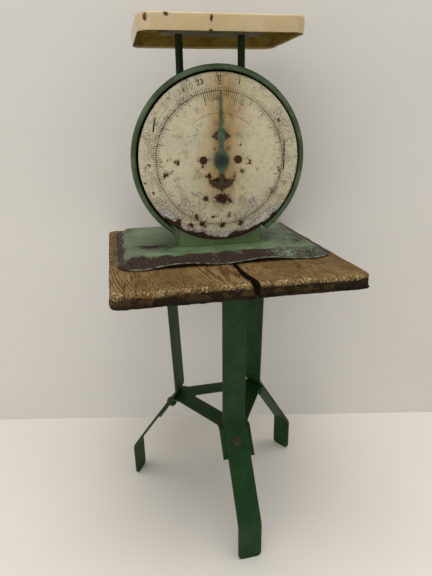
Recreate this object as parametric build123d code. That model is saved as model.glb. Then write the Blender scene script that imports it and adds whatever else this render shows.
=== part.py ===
from build123d import *
import math
import os

# Spring platform scale with a round dial, bolted down on a three-legged stand.
# Millimetres. The origin is on the floor under the centre of the wood top.
# X points right, Y points to the back and Z points up.

# ------------------------------------------------------------------ driving sizes

SIDES = (-1, 1)

# Stand: leg radii are measured from the stand's centre, which lies in front of the wood top's
# centre; heights are measured from the floor
STAND_Y = -19.5
LEG_ANGLES = {"front": -88.4, "left": 151.6, "right": 31.6}
BAR_WIDTH = 31.0
BAR_THICK = 3.2
WOOD_BOTTOM = 364.0
LEG_TOP_RADIUS = 75.0
LEG_FLANGE = 38.0
KNEE = (66.7, 164.6)
ANKLE = (143.8, 53.5)
TOE_RADIUS = 143.0
LEG_BENDS = (6.0, 14.0, 16.0)
TOE_CORNER = 7.0
LEG_SCREW_OFFSETS = (14.0, 29.0)
LEG_SCREW_SHANK = 2.2
LEG_SCREW_DEPTH = 13.0
BRACE_THICK = 2.5
BRACE_TAB_WIDTH = 43.0
BRACE_HEIGHT = 154.0
BRACE_CORNER_RADIUS = 60.0
BRACE_TAB_START = 33.5
BRACE_TAB_END = 96.0
BRACE_TAB_BEND = 4.0
BRACE_WINDOW = 23.5
BRACE_WINDOW_CORNER = 5.0
BRACE_BOLT_RADIUS = 84.0
BRACE_BOLT_SHANK = 3.2
BRACE_BOLT_HEAD = 6.0
BRACE_BOLT_DOME = 2.8
BRACE_NUT_HEIGHT = 5.0

# Wood top
WOOD_WIDTH = 298.0
WOOD_DEPTH = 331.0
WOOD_THICK = 19.0
WOOD_CORNER = 12.0
WOOD_ARRIS = 4.0
SPLIT_X = 6.0
SPLIT_GAP = 7.5
SPLIT_LENGTH = 110.0
SPLIT_DRIFT = 2.0

# Scale: every working part is centred on the plane of the two rods
ROD_PLANE = 17.5
ROD_SPACING = 79.6
ROD_RADIUS = 4.75
BASE_WIDTH = 272.0
BASE_DEPTH = 220.0
BASE_Y = 25.5
BASE_RISE = 11.5
BASE_SLOPE = 13.5
BASE_CORNER = 22.0
BASE_FLANGE = 5.0
BASE_FLANGE_THICK = 1.6
SHEET = 1.0
NECK_WIDTH = 108.0
NECK_FRONT = -31.0
NECK_BACK = 63.5
NECK_HEIGHT = 30.5
NECK_WALL = 1.2
NECK_LIP = 8.0
NECK_CORNER = 3.0
NECK_RIVET_X = 42.0

# Drum and dial: the drum narrows from its front rim to its back
HUB_HEIGHT = 503.0
DRUM_RADIUS = 110.0
DRUM_BACK_RADIUS = 103.0
DRUM_FRONT = -32.5
DRUM_BACK = 67.5
RIM_BEAD = 3.3
DRUM_GAP_HALF_ANGLE = 34.4
COVER_SCREW_ANGLES = (-110, -40, 40, 110)
COVER_RIM = 10.0
COVER_GAP = 0.1
COVER_FLAT = 91.0
BRACKET_WIDTH = 20.0
BRACKET_SHEET = 1.5
BRACKET_ANGLE = 140.0
BRACKET_TAB = 7.0
BRACKET_BEND = 2.0
NECK_BRACKET_HEIGHT = 420.5
DIAL_RADIUS = 101.0
DIAL_FRONT = -34.5
DIAL_SHEET = 0.8
DIAL_EDGE = 3.0
DIAL_RIM_DEPTH = 3.3
DIAL_HOLE = 5.0
DIAL_SCREW_X = 22.0
POINTER_BACK = -38.5
POINTER_SHEET = 0.9
POINTER_NUT = 3.5

# Platform: the pan sits a little to the right of the two rods
PLATFORM_TOP = 662.0
PLATFORM_WIDTH = 196.0
PLATFORM_DEPTH = 141.0
PLATFORM_SHIFT = 3.5
PLATFORM_SKIRT = 19.0
PLATFORM_CORNER = 17.0
HAT_SHEET = 2.0
HAT_LENGTH = 124.0
HAT_RISE = 11.0
HAT_HALF_WIDTH = 14.0
HAT_FLANGE = 14.0

# Movement: one turn of the pointer for the full travel of the platform
MODULE = 0.5
PINION_TEETH = 16
PINION_FRONT = 10.0
PINION_FACE = 6.0
PRESSURE = math.radians(20)
TRAVEL = 25.0
BACKLASH = 0.08
RACK_FRONT = 11.0
RACK_BACK = 15.0
RACK_SIDE = 10.0
RACK_SCREW_X = 7.2
RACK_SCREW_SHANK = 1.25
GUIDE_SCREW_X = 19.0
GUIDE_SCREW_SHANK = 1.5
GUIDE_SHEET = 2.0
GUIDE_HALF_HEIGHT = 14.0
SPRING_X = 22.0
SPRING_RADIUS = 7.0
SPRING_WIRE = 1.0
SPRING_TURNS = 27
EYE_INSET = 5.0
EYE_RADIUS = 2.5
YOKE_BOTTOM = 458.0
YOKE_HEIGHT = 14.0
YOKE_THICK = 5.0
YOKE_BOSS = 8.5
PIN_RADIUS = 1.5
PIN_LENGTH = 18.0
HANGER_BOTTOM = 572.0
HANGER_HALF_LENGTH = 29.0
STUD_RADIUS = 3.0
NUT_BODY_RADIUS = 5.0
NUT_HOLE_RADIUS = 6.0
NUT_HEAD_RADIUS = 9.0
NUT_HEAD = 5.0
NUT_GROOVES = 24
FRAME_HALF_WIDTH = 32.0
FRAME_THICK = 2.5
FRAME_DEPTH = 54.0
FRAME_TOP = 595.0
FOOT_LENGTH = 9.0
EAR_HALF_LENGTH = 49.0
EAR_HALF_DEPTH = 10.0
EAR_CORNER = 5.0
BUSH_RADIUS = 6.5
BUSH_FLANGE = 9.0
BUSH_RISE = 9.0
BEARING_RADIUS = 4.0
BEARING_FLANGE = 6.0
BEARING_LIP = 1.5
SHAFT_RADIUS = 2.0
ROD_BOTTOM = 424.0
ROD_CHAMFER = 0.8
ROD_TIP_RADIUS = 3.0
ROD_TIP_LENGTH = 8.0

# Fits and common hardware
RUNNING = 0.05
FEED_THROUGH = 0.15
SCREW_RADIUS = 2.0
RIVET_RADIUS = 1.6
HOLD_DOWN_X = 20.0
HOLD_DOWN_SHANK = 2.5
PILLAR_RADIUS = 4.0
PILLAR_TENON = 2.5

# ------------------------------------------------------------------ derived sizes

WOOD_TOP = WOOD_BOTTOM + WOOD_THICK
BASE_TOP = WOOD_TOP + BASE_RISE
NECK_TOP = BASE_TOP + NECK_HEIGHT
NECK_RIVETS = [(side * NECK_RIVET_X, y) for side in SIDES for y in (NECK_FRONT + 5, NECK_BACK - 5)]
SLOPE = math.atan2(ANKLE[0] - KNEE[0], KNEE[1] - ANKLE[1])
LOWER_LEG_OUT = (math.cos(SLOPE), 0, math.sin(SLOPE))
LEG_SCREW_RADII = [LEG_TOP_RADIUS + offset for offset in LEG_SCREW_OFFSETS]
TAPER = math.atan2(DRUM_RADIUS - DRUM_BACK_RADIUS, DRUM_BACK - DRUM_FRONT)
COVER_SCREW_Y = DRUM_BACK - 7
ROD_X = ROD_SPACING / 2
FRAME_FRONT = ROD_PLANE - FRAME_DEPTH / 2
FRAME_BACK = ROD_PLANE + FRAME_DEPTH / 2
FOOT_TOP = BASE_TOP + FRAME_THICK
HOLD_DOWN_YS = (FRAME_FRONT - FOOT_LENGTH / 2, FRAME_BACK + FOOT_LENGTH / 2)
HOLD_DOWN_POINTS = [(side * HOLD_DOWN_X, y) for side in SIDES for y in HOLD_DOWN_YS]
PITCH_RADIUS = MODULE * PINION_TEETH / 2
RACK_TOP = HUB_HEIGHT + TRAVEL + 8
RACK_SCREWS = [(RACK_SCREW_X, YOKE_BOTTOM + YOKE_HEIGHT * part) for part in (0.25, 0.75)]
GUIDE_SCREW_HEIGHTS = (HUB_HEIGHT - 10, HUB_HEIGHT + 10)
YOKE_TOP = YOKE_BOTTOM + YOKE_HEIGHT
PIN_HEIGHT = YOKE_BOTTOM + YOKE_HEIGHT / 2
GUIDE_TOP = YOKE_BOTTOM - TRAVEL - 0.4
LOWER_EYE = YOKE_TOP - EYE_INSET
UPPER_EYE = HANGER_BOTTOM + EYE_INSET
ROD_SHOULDER = PLATFORM_TOP - SHEET - HAT_RISE


# ------------------------------------------------------------------ helpers

def tube(outer, inner, height):
    """Plain round tube standing on the XY plane."""
    ring = Circle(outer) - Circle(inner)
    return extrude(ring, height)


def box_between(low, high):
    """Box given by two opposite corners."""
    size = [high[i] - low[i] for i in range(3)]
    middle = [(high[i] + low[i]) / 2 for i in range(3)]
    return Pos(*middle) * Box(*size)


def rod_along(start, direction, radius, length):
    """Round bar from a start point along a direction."""
    return Plane(origin=start, z_dir=direction) * Pos(0, 0, length / 2) * Cylinder(radius, length)


def bent_strip(points, bend, width, thickness, across):
    """Flat bar swept along a bent centre line; the width lies along the across direction."""
    path = FilletPolyline(*points, radius=bend)
    start = Plane(origin=path @ 0, x_dir=across, z_dir=path % 0)
    return sweep(start * Rectangle(width, thickness), path=path)


def pan_screw(head_point, direction, shank, length, head=1.9, height=1.1):
    """Slotted round-head screw: the head sits outside head_point, the shank runs along direction."""
    seat = Plane(origin=head_point, z_dir=direction)
    profile = Pos(0, 0, -height * shank / 2) * Cylinder(head * shank, height * shank)
    profile = fillet(profile.faces().sort_by(Axis.Z)[0].edges(), 0.35 * height * shank)
    slot = Pos(0, 0, -height * shank) * Box(2.2 * head * shank, 0.45 * shank, 0.8 * shank)
    body = profile - slot + Pos(0, 0, length / 2) * Cylinder(shank, length)
    return seat * body


def hex_nut(face_point, direction, bore, across_flats, height):
    """Hexagon nut standing on a face."""
    blank = RegularPolygon(across_flats / math.sqrt(3), 6) - Circle(bore)
    return Plane(origin=face_point, z_dir=direction) * extrude(blank, height)


def domed_cap(radius, rise):
    """Low dome standing on the XY plane."""
    dome_radius = (radius ** 2 + rise ** 2) / (2 * rise)
    dome = Pos(0, 0, rise - dome_radius) * Sphere(dome_radius)
    return dome & (Pos(0, 0, rise / 2) * Cylinder(radius, rise))


def domed_rivet(low, direction, radius, grip):
    """Rivet with a low domed head on each side of its grip."""
    cap = domed_cap(2 * radius, 0.9 * radius)
    body = Pos(0, 0, grip / 2) * Cylinder(radius, grip)
    both = body + Pos(0, 0, grip) * cap + Rot(180, 0, 0) * cap
    return Plane(origin=low, z_dir=direction) * both


def drum_radius(y):
    """Outside radius of the tapered drum at a depth."""
    return DRUM_RADIUS - (y - DRUM_FRONT) * math.tan(TAPER)


def drum_outward(angle_from_top):
    """Direction square to the drum's outside; the angle runs clockwise seen from the front."""
    angle = math.radians(angle_from_top)
    return (math.cos(TAPER) * math.sin(angle), math.sin(TAPER), math.cos(TAPER) * math.cos(angle))


def on_drum(angle_from_top, y, lift=0.0):
    """Point on the drum's outside, lifted off it by lift."""
    angle = math.radians(angle_from_top)
    radius = drum_radius(y)
    foot = (radius * math.sin(angle), y, HUB_HEIGHT + radius * math.cos(angle))
    return tuple(value + lift * out for value, out in zip(foot, drum_outward(angle_from_top)))


def drum_screw_hole(angle_from_top, y):
    """Round bar that drills the drum for a screw."""
    return rod_along(on_drum(angle_from_top, y, -15), drum_outward(angle_from_top),
                     SCREW_RADIUS + FEED_THROUGH, 30)


def inward(direction):
    """Opposite direction."""
    return tuple(-value for value in direction)


# ------------------------------------------------------------------ stand

def lower_leg_point(radius, offset):
    """Point on the lower leg's centre line, moved off it towards the outside by offset."""
    height = KNEE[1] - (radius - KNEE[0]) / math.tan(SLOPE)
    return (radius + offset * LOWER_LEG_OUT[0], 0, height + offset * LOWER_LEG_OUT[2])


def leg_bar():
    """One bent leg, drawn with its radius along X."""
    flange_height = WOOD_BOTTOM - BAR_THICK / 2
    below_floor = -3.0
    points = [
        (LEG_TOP_RADIUS + LEG_FLANGE, 0, flange_height),
        (LEG_TOP_RADIUS, 0, flange_height),
        (KNEE[0], 0, KNEE[1]),
        (ANKLE[0], 0, ANKLE[1]),
        (TOE_RADIUS, 0, below_floor),
    ]
    bar = bent_strip(points, LEG_BENDS, BAR_WIDTH, BAR_THICK, (0, 1, 0))
    front_view = Plane.YZ * Pos(0, WOOD_BOTTOM / 2) * Rectangle(BAR_WIDTH, WOOD_BOTTOM)
    toe_corners = front_view.vertices().group_by(Axis.Z)[0]
    front_view = fillet(toe_corners, TOE_CORNER)
    return bar & extrude(front_view, 2 * ANKLE[0])


def brace_bolt_hole():
    """Round bar that drills a lower leg and its brace tab."""
    return rod_along(lower_leg_point(BRACE_BOLT_RADIUS, -20), LOWER_LEG_OUT,
                     BRACE_BOLT_SHANK + FEED_THROUGH, 40)


def leg():
    """Leg with its two screw holes and its brace bolt hole."""
    bar = leg_bar()
    for radius in LEG_SCREW_RADII:
        bar -= Pos(radius, 0, WOOD_BOTTOM) * Cylinder(LEG_SCREW_SHANK + FEED_THROUGH, 4 * BAR_THICK)
    return bar - brace_bolt_hole()


def brace_tab():
    """Half strip of the brace: flat near the middle, then bent down behind the lower leg."""
    offset = -(BAR_THICK + BRACE_THICK) / 2
    knee_height = lower_leg_point(KNEE[0], offset)[2]
    knee_radius = lower_leg_point(KNEE[0], offset)[0]
    bend_radius = knee_radius + (knee_height - BRACE_HEIGHT) * math.tan(SLOPE)
    end = lower_leg_point(BRACE_TAB_END, offset)
    points = [(BRACE_TAB_START, 0, BRACE_HEIGHT), (bend_radius, 0, BRACE_HEIGHT), end]
    return bent_strip(points, BRACE_TAB_BEND, BRACE_TAB_WIDTH, BRACE_THICK, (0, 1, 0))


def brace():
    """One stamped plate: a triangular ring with a tab bent down behind each leg."""
    corners = []
    for angle in LEG_ANGLES.values():
        along = Vector(BRACE_CORNER_RADIUS, 0, 0).rotate(Axis.Z, angle)
        side = Vector(0, BRACE_TAB_WIDTH / 2, 0).rotate(Axis.Z, angle)
        corners += [along - side, along + side]
    corners.sort(key=lambda point: math.atan2(point.Y, point.X))
    outline = make_face(Polyline(*corners, close=True))
    window = Rot(0, 0, LEG_ANGLES["right"]) * RegularPolygon(2 * BRACE_WINDOW, 3, major_radius=True)
    window = fillet(window.vertices(), BRACE_WINDOW_CORNER)
    plate = Pos(0, 0, BRACE_HEIGHT - BRACE_THICK / 2) * extrude(outline, BRACE_THICK)
    for angle in LEG_ANGLES.values():
        plate += Rot(0, 0, angle) * (brace_tab() - brace_bolt_hole())
    plate -= Pos(0, 0, BRACE_HEIGHT) * extrude(window, 2 * BRACE_THICK, both=True)
    return Pos(0, STAND_Y, 0) * plate


def brace_bolt():
    """Round-headed bolt through a leg and a brace tab, with its head outside."""
    seat = lower_leg_point(BRACE_BOLT_RADIUS, BAR_THICK / 2)
    length = BAR_THICK + BRACE_THICK + BRACE_NUT_HEIGHT + 1.5
    head = Rot(180, 0, 0) * domed_cap(BRACE_BOLT_HEAD, BRACE_BOLT_DOME)
    shank = Pos(0, 0, length / 2) * Cylinder(BRACE_BOLT_SHANK, length)
    return Plane(origin=seat, z_dir=inward(LOWER_LEG_OUT)) * (head + shank)


def brace_nut():
    """Nut behind a brace tab."""
    face = lower_leg_point(BRACE_BOLT_RADIUS, -BAR_THICK / 2 - BRACE_THICK)
    return hex_nut(face, inward(LOWER_LEG_OUT), BRACE_BOLT_SHANK + RUNNING, 11.0, BRACE_NUT_HEIGHT)


def around_stand(make):
    """Copies of a leg-side piece at the three legs."""
    return [Pos(0, STAND_Y, 0) * Rot(0, 0, angle) * make() for angle in LEG_ANGLES.values()]


def leg_screw_points():
    """Plan positions of the six leg screws."""
    for angle in LEG_ANGLES.values():
        for radius in LEG_SCREW_RADII:
            turn = math.radians(angle)
            yield radius * math.cos(turn), STAND_Y + radius * math.sin(turn)


def leg_screws():
    """Round-head wood screws up through the leg flanges."""
    seat = WOOD_BOTTOM - BAR_THICK
    length = BAR_THICK + LEG_SCREW_DEPTH
    return [pan_screw((x, y, seat), (0, 0, 1), LEG_SCREW_SHANK, length) for x, y in leg_screw_points()]


# ------------------------------------------------------------------ wood top

def wood_top():
    """Board with rounded arrises, screw holes and one long drying split from its front edge."""
    board = box_between((-WOOD_WIDTH / 2, -WOOD_DEPTH / 2, WOOD_BOTTOM),
                        (WOOD_WIDTH / 2, WOOD_DEPTH / 2, WOOD_TOP))
    board = fillet(board.edges().filter_by(Axis.Z), WOOD_CORNER)
    board = fillet(board.edges().filter_by(Axis.Z, reverse=True), WOOD_ARRIS)
    front = -WOOD_DEPTH / 2 - 1
    split = make_face(Polyline((SPLIT_X - SPLIT_GAP / 2, front), (SPLIT_X + SPLIT_GAP / 2, front),
                               (SPLIT_X - SPLIT_DRIFT, front + SPLIT_LENGTH), close=True))
    board -= Pos(0, 0, WOOD_BOTTOM - 1) * extrude(split, WOOD_THICK + 2)
    for x, y in leg_screw_points():
        depth = LEG_SCREW_DEPTH + 1
        board -= Pos(x, y, WOOD_BOTTOM + depth / 2) * Cylinder(LEG_SCREW_SHANK + RUNNING, depth)
    for x, y in HOLD_DOWN_POINTS:
        board -= Pos(x, y, WOOD_BOTTOM) * Cylinder(HOLD_DOWN_SHANK + FEED_THROUGH, 3 * WOOD_THICK)
    return board


# ------------------------------------------------------------------ base and neck

def tapered_block(width, depth, inset, height, corner, top_round):
    """Block with rounded plan corners and sloping sides."""
    low = RectangleRounded(width, depth, corner)
    high = Pos(0, 0, height) * RectangleRounded(width - 2 * inset, depth - 2 * inset, corner - 4)
    block = loft([low, high])
    return fillet(block.faces().sort_by(Axis.Z)[-1].edges(), top_round)


def base_shell():
    """Pressed sheet base: a low dome with a flat flange around it, open underneath."""
    inset = BASE_SLOPE - BASE_FLANGE
    width = BASE_WIDTH - 2 * BASE_FLANGE
    depth = BASE_DEPTH - 2 * BASE_FLANGE
    corner = BASE_CORNER - 2
    top_round = 6.0
    outer = tapered_block(width, depth, inset, BASE_RISE, corner, top_round)
    side = SHEET / math.cos(math.atan2(inset, BASE_RISE))
    inner = tapered_block(width - 2 * side, depth - 2 * side, inset, BASE_RISE - SHEET,
                          corner - SHEET, top_round - SHEET)
    flange = extrude(RectangleRounded(BASE_WIDTH, BASE_DEPTH, BASE_CORNER), BASE_FLANGE_THICK)
    flange = fillet(flange.edges().filter_by(Plane.XY), 0.7)
    shell = Pos(0, BASE_Y, WOOD_TOP) * (flange + outer - inner)
    for x, y in HOLD_DOWN_POINTS:
        shell -= Pos(x, y, BASE_TOP) * Cylinder(HOLD_DOWN_SHANK + FEED_THROUGH, 6 * SHEET)
    for x, y in NECK_RIVETS:
        shell -= Pos(x, y, BASE_TOP) * Cylinder(RIVET_RADIUS + RUNNING, 6 * SHEET)
    return shell


def neck():
    """Open rectangular box between base and drum, with lips turned in at the bottom."""
    outer = box_between((-NECK_WIDTH / 2, NECK_FRONT, BASE_TOP), (NECK_WIDTH / 2, NECK_BACK, NECK_TOP))
    outer = fillet(outer.edges().filter_by(Axis.Z), NECK_CORNER)
    wall = NECK_WALL
    inner = box_between((-NECK_WIDTH / 2 + wall, NECK_FRONT + wall, BASE_TOP + wall),
                        (NECK_WIDTH / 2 - wall, NECK_BACK - wall, NECK_TOP + 1))
    lip = wall + NECK_LIP
    mouth = box_between((-NECK_WIDTH / 2 + lip, NECK_FRONT + lip, BASE_TOP - 1),
                        (NECK_WIDTH / 2 - lip, NECK_BACK - lip, BASE_TOP + 2 * wall))
    box = outer - inner - mouth
    for x, y in NECK_RIVETS:
        box -= Pos(x, y, BASE_TOP) * Cylinder(RIVET_RADIUS + RUNNING, 6 * wall)
    across = NECK_WIDTH + 20
    start = (-across / 2, ROD_PLANE, NECK_BRACKET_HEIGHT)
    return box - rod_along(start, (1, 0, 0), SCREW_RADIUS + FEED_THROUGH, across)


def neck_rivets():
    """Rivets through the neck's lips and the base."""
    grip = SHEET + NECK_WALL
    return [domed_rivet((x, y, BASE_TOP - SHEET), (0, 0, 1), RIVET_RADIUS, grip) for x, y in NECK_RIVETS]


# ------------------------------------------------------------------ hold-down hardware

def hold_down_bolts():
    """Round-head bolts from under the board up through the base and the frame's feet."""
    length = FOOT_TOP + 6 - WOOD_BOTTOM
    start = WOOD_BOTTOM
    return [pan_screw((x, y, start), (0, 0, 1), HOLD_DOWN_SHANK, length) for x, y in HOLD_DOWN_POINTS]


def hold_down_spacers():
    """Tubes that keep the hollow base from being crushed."""
    height = BASE_RISE - SHEET
    sleeve = tube(5.0, HOLD_DOWN_SHANK + FEED_THROUGH, height)
    return [Pos(x, y, WOOD_TOP) * sleeve for x, y in HOLD_DOWN_POINTS]


def hold_down_nuts():
    """Nuts on top of the frame's feet."""
    return [hex_nut((x, y, FOOT_TOP), (0, 0, 1), HOLD_DOWN_SHANK + RUNNING, 8.0, 4.0)
            for x, y in HOLD_DOWN_POINTS]


# ------------------------------------------------------------------ drum

def about_hub(profile):
    """Solid turned about the hub axis; the profile's x is the radius and its y is depth."""
    placed = Pos(0, 0, HUB_HEIGHT) * profile
    return revolve(placed, Axis((0, 0, HUB_HEIGHT), (0, 1, 0)), 360)


def gap_wedge(half_angle):
    """Wedge that opens the drum at the bottom."""
    reach = 2 * DRUM_RADIUS
    side = reach * math.tan(math.radians(half_angle))
    wedge = make_face(Plane.XZ * Polyline((0, 0), (side, -reach), (-side, -reach), close=True))
    return Pos(0, 0, HUB_HEIGHT) * extrude(wedge, 2 * DRUM_BACK, both=True)


def sheet_ring(front, back, inset):
    """Tapered sheet ring that lies inside the drum's outside by inset."""
    outer = [(drum_radius(y) - inset, y) for y in (front, back)]
    inner = [(radius - SHEET, y) for radius, y in reversed(outer)]
    return about_hub(make_face(Polyline(*outer, *inner, close=True)))


def drum_band():
    """Sheet band around the dial with a wired front rim, cut away over the neck."""
    bead_depth = DRUM_FRONT + RIM_BEAD
    bead = Pos(DRUM_RADIUS - RIM_BEAD, bead_depth) * Circle(RIM_BEAD)
    band = sheet_ring(bead_depth, DRUM_BACK, 0) + about_hub(bead)
    band -= gap_wedge(DRUM_GAP_HALF_ANGLE)
    top = HUB_HEIGHT + DRUM_RADIUS
    for side in SIDES:
        band -= Pos(side * ROD_X, ROD_PLANE, top) * Cylinder(BUSH_RADIUS + 0.5, 60)
        band -= drum_screw_hole(side * BRACKET_ANGLE, ROD_PLANE)
    band -= Pos(0, ROD_PLANE, top) * Cylinder(NUT_HOLE_RADIUS, 20)
    for angle in COVER_SCREW_ANGLES:
        band -= drum_screw_hole(angle, COVER_SCREW_Y)
    return band


def outside_drum_sheet(front, back):
    """Everything that lies outside the inner face of the band between two depths."""
    edge = [(drum_radius(y) - SHEET, y) for y in (front, back)]
    far = 2 * DRUM_RADIUS
    return about_hub(make_face(Polyline(*edge, (far, back), (far, front), close=True)))


def band_bracket(side):
    """Bent strip that ties the drum's cut end to the side of the neck."""
    angle = math.radians(180 - BRACKET_ANGLE)
    inset = drum_radius(ROD_PLANE) - SHEET - BRACKET_SHEET / 2
    seat = (inset * math.sin(angle), HUB_HEIGHT - inset * math.cos(angle))
    wall = NECK_WIDTH / 2 + BRACKET_SHEET / 2
    corner = (wall, seat[1] - (seat[0] - wall) * math.tan(angle))
    tip = (seat[0] + BRACKET_TAB * math.cos(angle), seat[1] + BRACKET_TAB * math.sin(angle))
    points = [(x, ROD_PLANE, z) for x, z in ((wall, NECK_TOP - 1), corner, tip)]
    strip = bent_strip(points, BRACKET_BEND, BRACKET_WIDTH, BRACKET_SHEET, (0, 1, 0))
    strip -= outside_drum_sheet(ROD_PLANE - BRACKET_WIDTH, ROD_PLANE + BRACKET_WIDTH)
    strip -= drum_screw_hole(BRACKET_ANGLE, ROD_PLANE)
    neck_side = (NECK_WIDTH / 2 - 10, ROD_PLANE, NECK_BRACKET_HEIGHT)
    strip -= rod_along(neck_side, (1, 0, 0), SCREW_RADIUS + FEED_THROUGH, 20)
    return strip if side > 0 else mirror(strip, Plane.YZ)


def band_screws():
    """Screws through the band and through the neck into the two brackets."""
    length = 7.0
    screws = []
    for side in SIDES:
        angle = side * BRACKET_ANGLE
        into_drum = inward(drum_outward(angle))
        screws.append(pan_screw(on_drum(angle, ROD_PLANE), into_drum, SCREW_RADIUS, length))
        wall = (side * (NECK_WIDTH / 2 + BRACKET_SHEET), ROD_PLANE, NECK_BRACKET_HEIGHT)
        screws.append(pan_screw(wall, (-side, 0, 0), SCREW_RADIUS, length))
    return screws


def back_cover():
    """Disc with a forward rim that closes the back of the drum, flat at the bottom."""
    inset = SHEET + COVER_GAP
    back = DRUM_BACK - 0.5
    radius = drum_radius(back) - inset
    disc = about_hub(Pos(radius / 2, back - SHEET / 2) * Rectangle(radius, SHEET))
    below = Pos(0, back, HUB_HEIGHT - COVER_FLAT - DRUM_RADIUS) * Box(3 * DRUM_RADIUS, 60, 2 * DRUM_RADIUS)
    rim = sheet_ring(back - COVER_RIM, back, inset) - gap_wedge(DRUM_GAP_HALF_ANGLE + 2)
    cover = disc - below + rim
    for angle in COVER_SCREW_ANGLES:
        cover -= drum_screw_hole(angle, COVER_SCREW_Y)
    return cover


def cover_screws():
    """Screws through the band into the cover's rim."""
    return [pan_screw(on_drum(angle, COVER_SCREW_Y), inward(drum_outward(angle)), SCREW_RADIUS, 6.0)
            for angle in COVER_SCREW_ANGLES]


# ------------------------------------------------------------------ dial and pointer

def cup_section(radius, front, back, edge):
    """Half section of a shallow round cup, filled solid, with a rounded front edge."""
    section = Pos(radius / 2, (front + back) / 2) * Rectangle(radius, back - front)
    corner = section.vertices().group_by(Axis.X)[-1].sort_by(Axis.Y)[0]
    return fillet(corner, edge)


def dial_plate():
    """Shallow round dial with a rounded edge turned back."""
    back = DIAL_FRONT + DIAL_RIM_DEPTH
    outside = cup_section(DIAL_RADIUS, DIAL_FRONT, back, DIAL_EDGE)
    inside = cup_section(DIAL_RADIUS - DIAL_SHEET, DIAL_FRONT + DIAL_SHEET, back, DIAL_EDGE - DIAL_SHEET)
    dial = about_hub(outside - inside)
    ahead = DIAL_FRONT - 10
    dial -= rod_along((0, ahead, HUB_HEIGHT), (0, 1, 0), DIAL_HOLE, 20)
    for side in SIDES:
        centre = (side * DIAL_SCREW_X, ahead, HUB_HEIGHT)
        dial -= rod_along(centre, (0, 1, 0), SCREW_RADIUS + FEED_THROUGH, 20)
    return dial


def dial_screws():
    """The two broad-headed screws that hold the dial to its pillars."""
    return [pan_screw((side * DIAL_SCREW_X, DIAL_FRONT, HUB_HEIGHT), (0, 1, 0), SCREW_RADIUS, 9.0, head=2.4)
            for side in SIDES]


def dial_pillars():
    """Round pillars from the frame's front plate to the dial, riveted over at the back."""
    start = DIAL_FRONT + DIAL_SHEET
    length = FRAME_FRONT - start
    pillars = []
    for side in SIDES:
        x = side * DIAL_SCREW_X
        pillar = rod_along((x, start, HUB_HEIGHT), (0, 1, 0), PILLAR_RADIUS, length)
        pillar += rod_along((x, FRAME_FRONT, HUB_HEIGHT), (0, 1, 0), PILLAR_TENON, FRAME_THICK)
        pillar -= rod_along((x, start - 1, HUB_HEIGHT), (0, 1, 0), SCREW_RADIUS + RUNNING, 10)
        pillars.append(pillar)
    return pillars


def pointer():
    """Flat needle with a spade, an oval hub plate and a crescent tail, on a short collar."""
    needle = Polyline((-1.1, 79), (1.1, 79), (2.6, 38), (-2.6, 38), close=True)
    spade = Polyline((0, 41), (5, 34.5), (12.4, 27.5), (7.5, 25.5), (3, 22), (-3, 22),
                     (-7.5, 25.5), (-12.4, 27.5), (-5, 34.5), close=True)
    stem_low = -28.0
    stem_high = 27.0
    stem = Pos(0, (stem_low + stem_high) / 2) * Rectangle(6, stem_high - stem_low)
    hub = Ellipse(9.8, 12.3)
    crescent = Pos(0, -17) * Circle(18) - Pos(0, 4.4) * Circle(31)
    tail = Polyline((-4, -33), (4, -33), (0, -39.5), close=True)
    outline = make_face(needle) + make_face(spade) + stem + hub + crescent + make_face(tail)
    outline -= Circle(SHAFT_RADIUS)
    seat = Plane(origin=(0, POINTER_BACK, HUB_HEIGHT), x_dir=(1, 0, 0), z_dir=(0, -1, 0))
    collar = Rot(180, 0, 0) * tube(4.5, SHAFT_RADIUS, 2.6)
    return seat * (extrude(outline, POINTER_SHEET) + collar)


def pointer_nut():
    """Round nut that clamps the pointer on the shaft."""
    front = POINTER_BACK - POINTER_SHEET
    return Plane(origin=(0, front, HUB_HEIGHT), z_dir=(0, -1, 0)) * tube(POINTER_NUT, SHAFT_RADIUS, 2.0)


# ------------------------------------------------------------------ movement frame

def eared_plate(top):
    """Level plate between front and back with an ear at each side for the rod bushes."""
    low = top - FRAME_THICK
    plate = box_between((-FRAME_HALF_WIDTH, FRAME_FRONT, low), (FRAME_HALF_WIDTH, FRAME_BACK, top))
    ears = box_between((-EAR_HALF_LENGTH, ROD_PLANE - EAR_HALF_DEPTH, low),
                       (EAR_HALF_LENGTH, ROD_PLANE + EAR_HALF_DEPTH, top))
    ears = fillet(ears.edges().filter_by(Axis.Z), EAR_CORNER)
    plate += ears
    for side in SIDES:
        plate -= Pos(side * ROD_X, ROD_PLANE, low) * Cylinder(BUSH_RADIUS + RUNNING, 6 * FRAME_THICK)
    return plate


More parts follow.
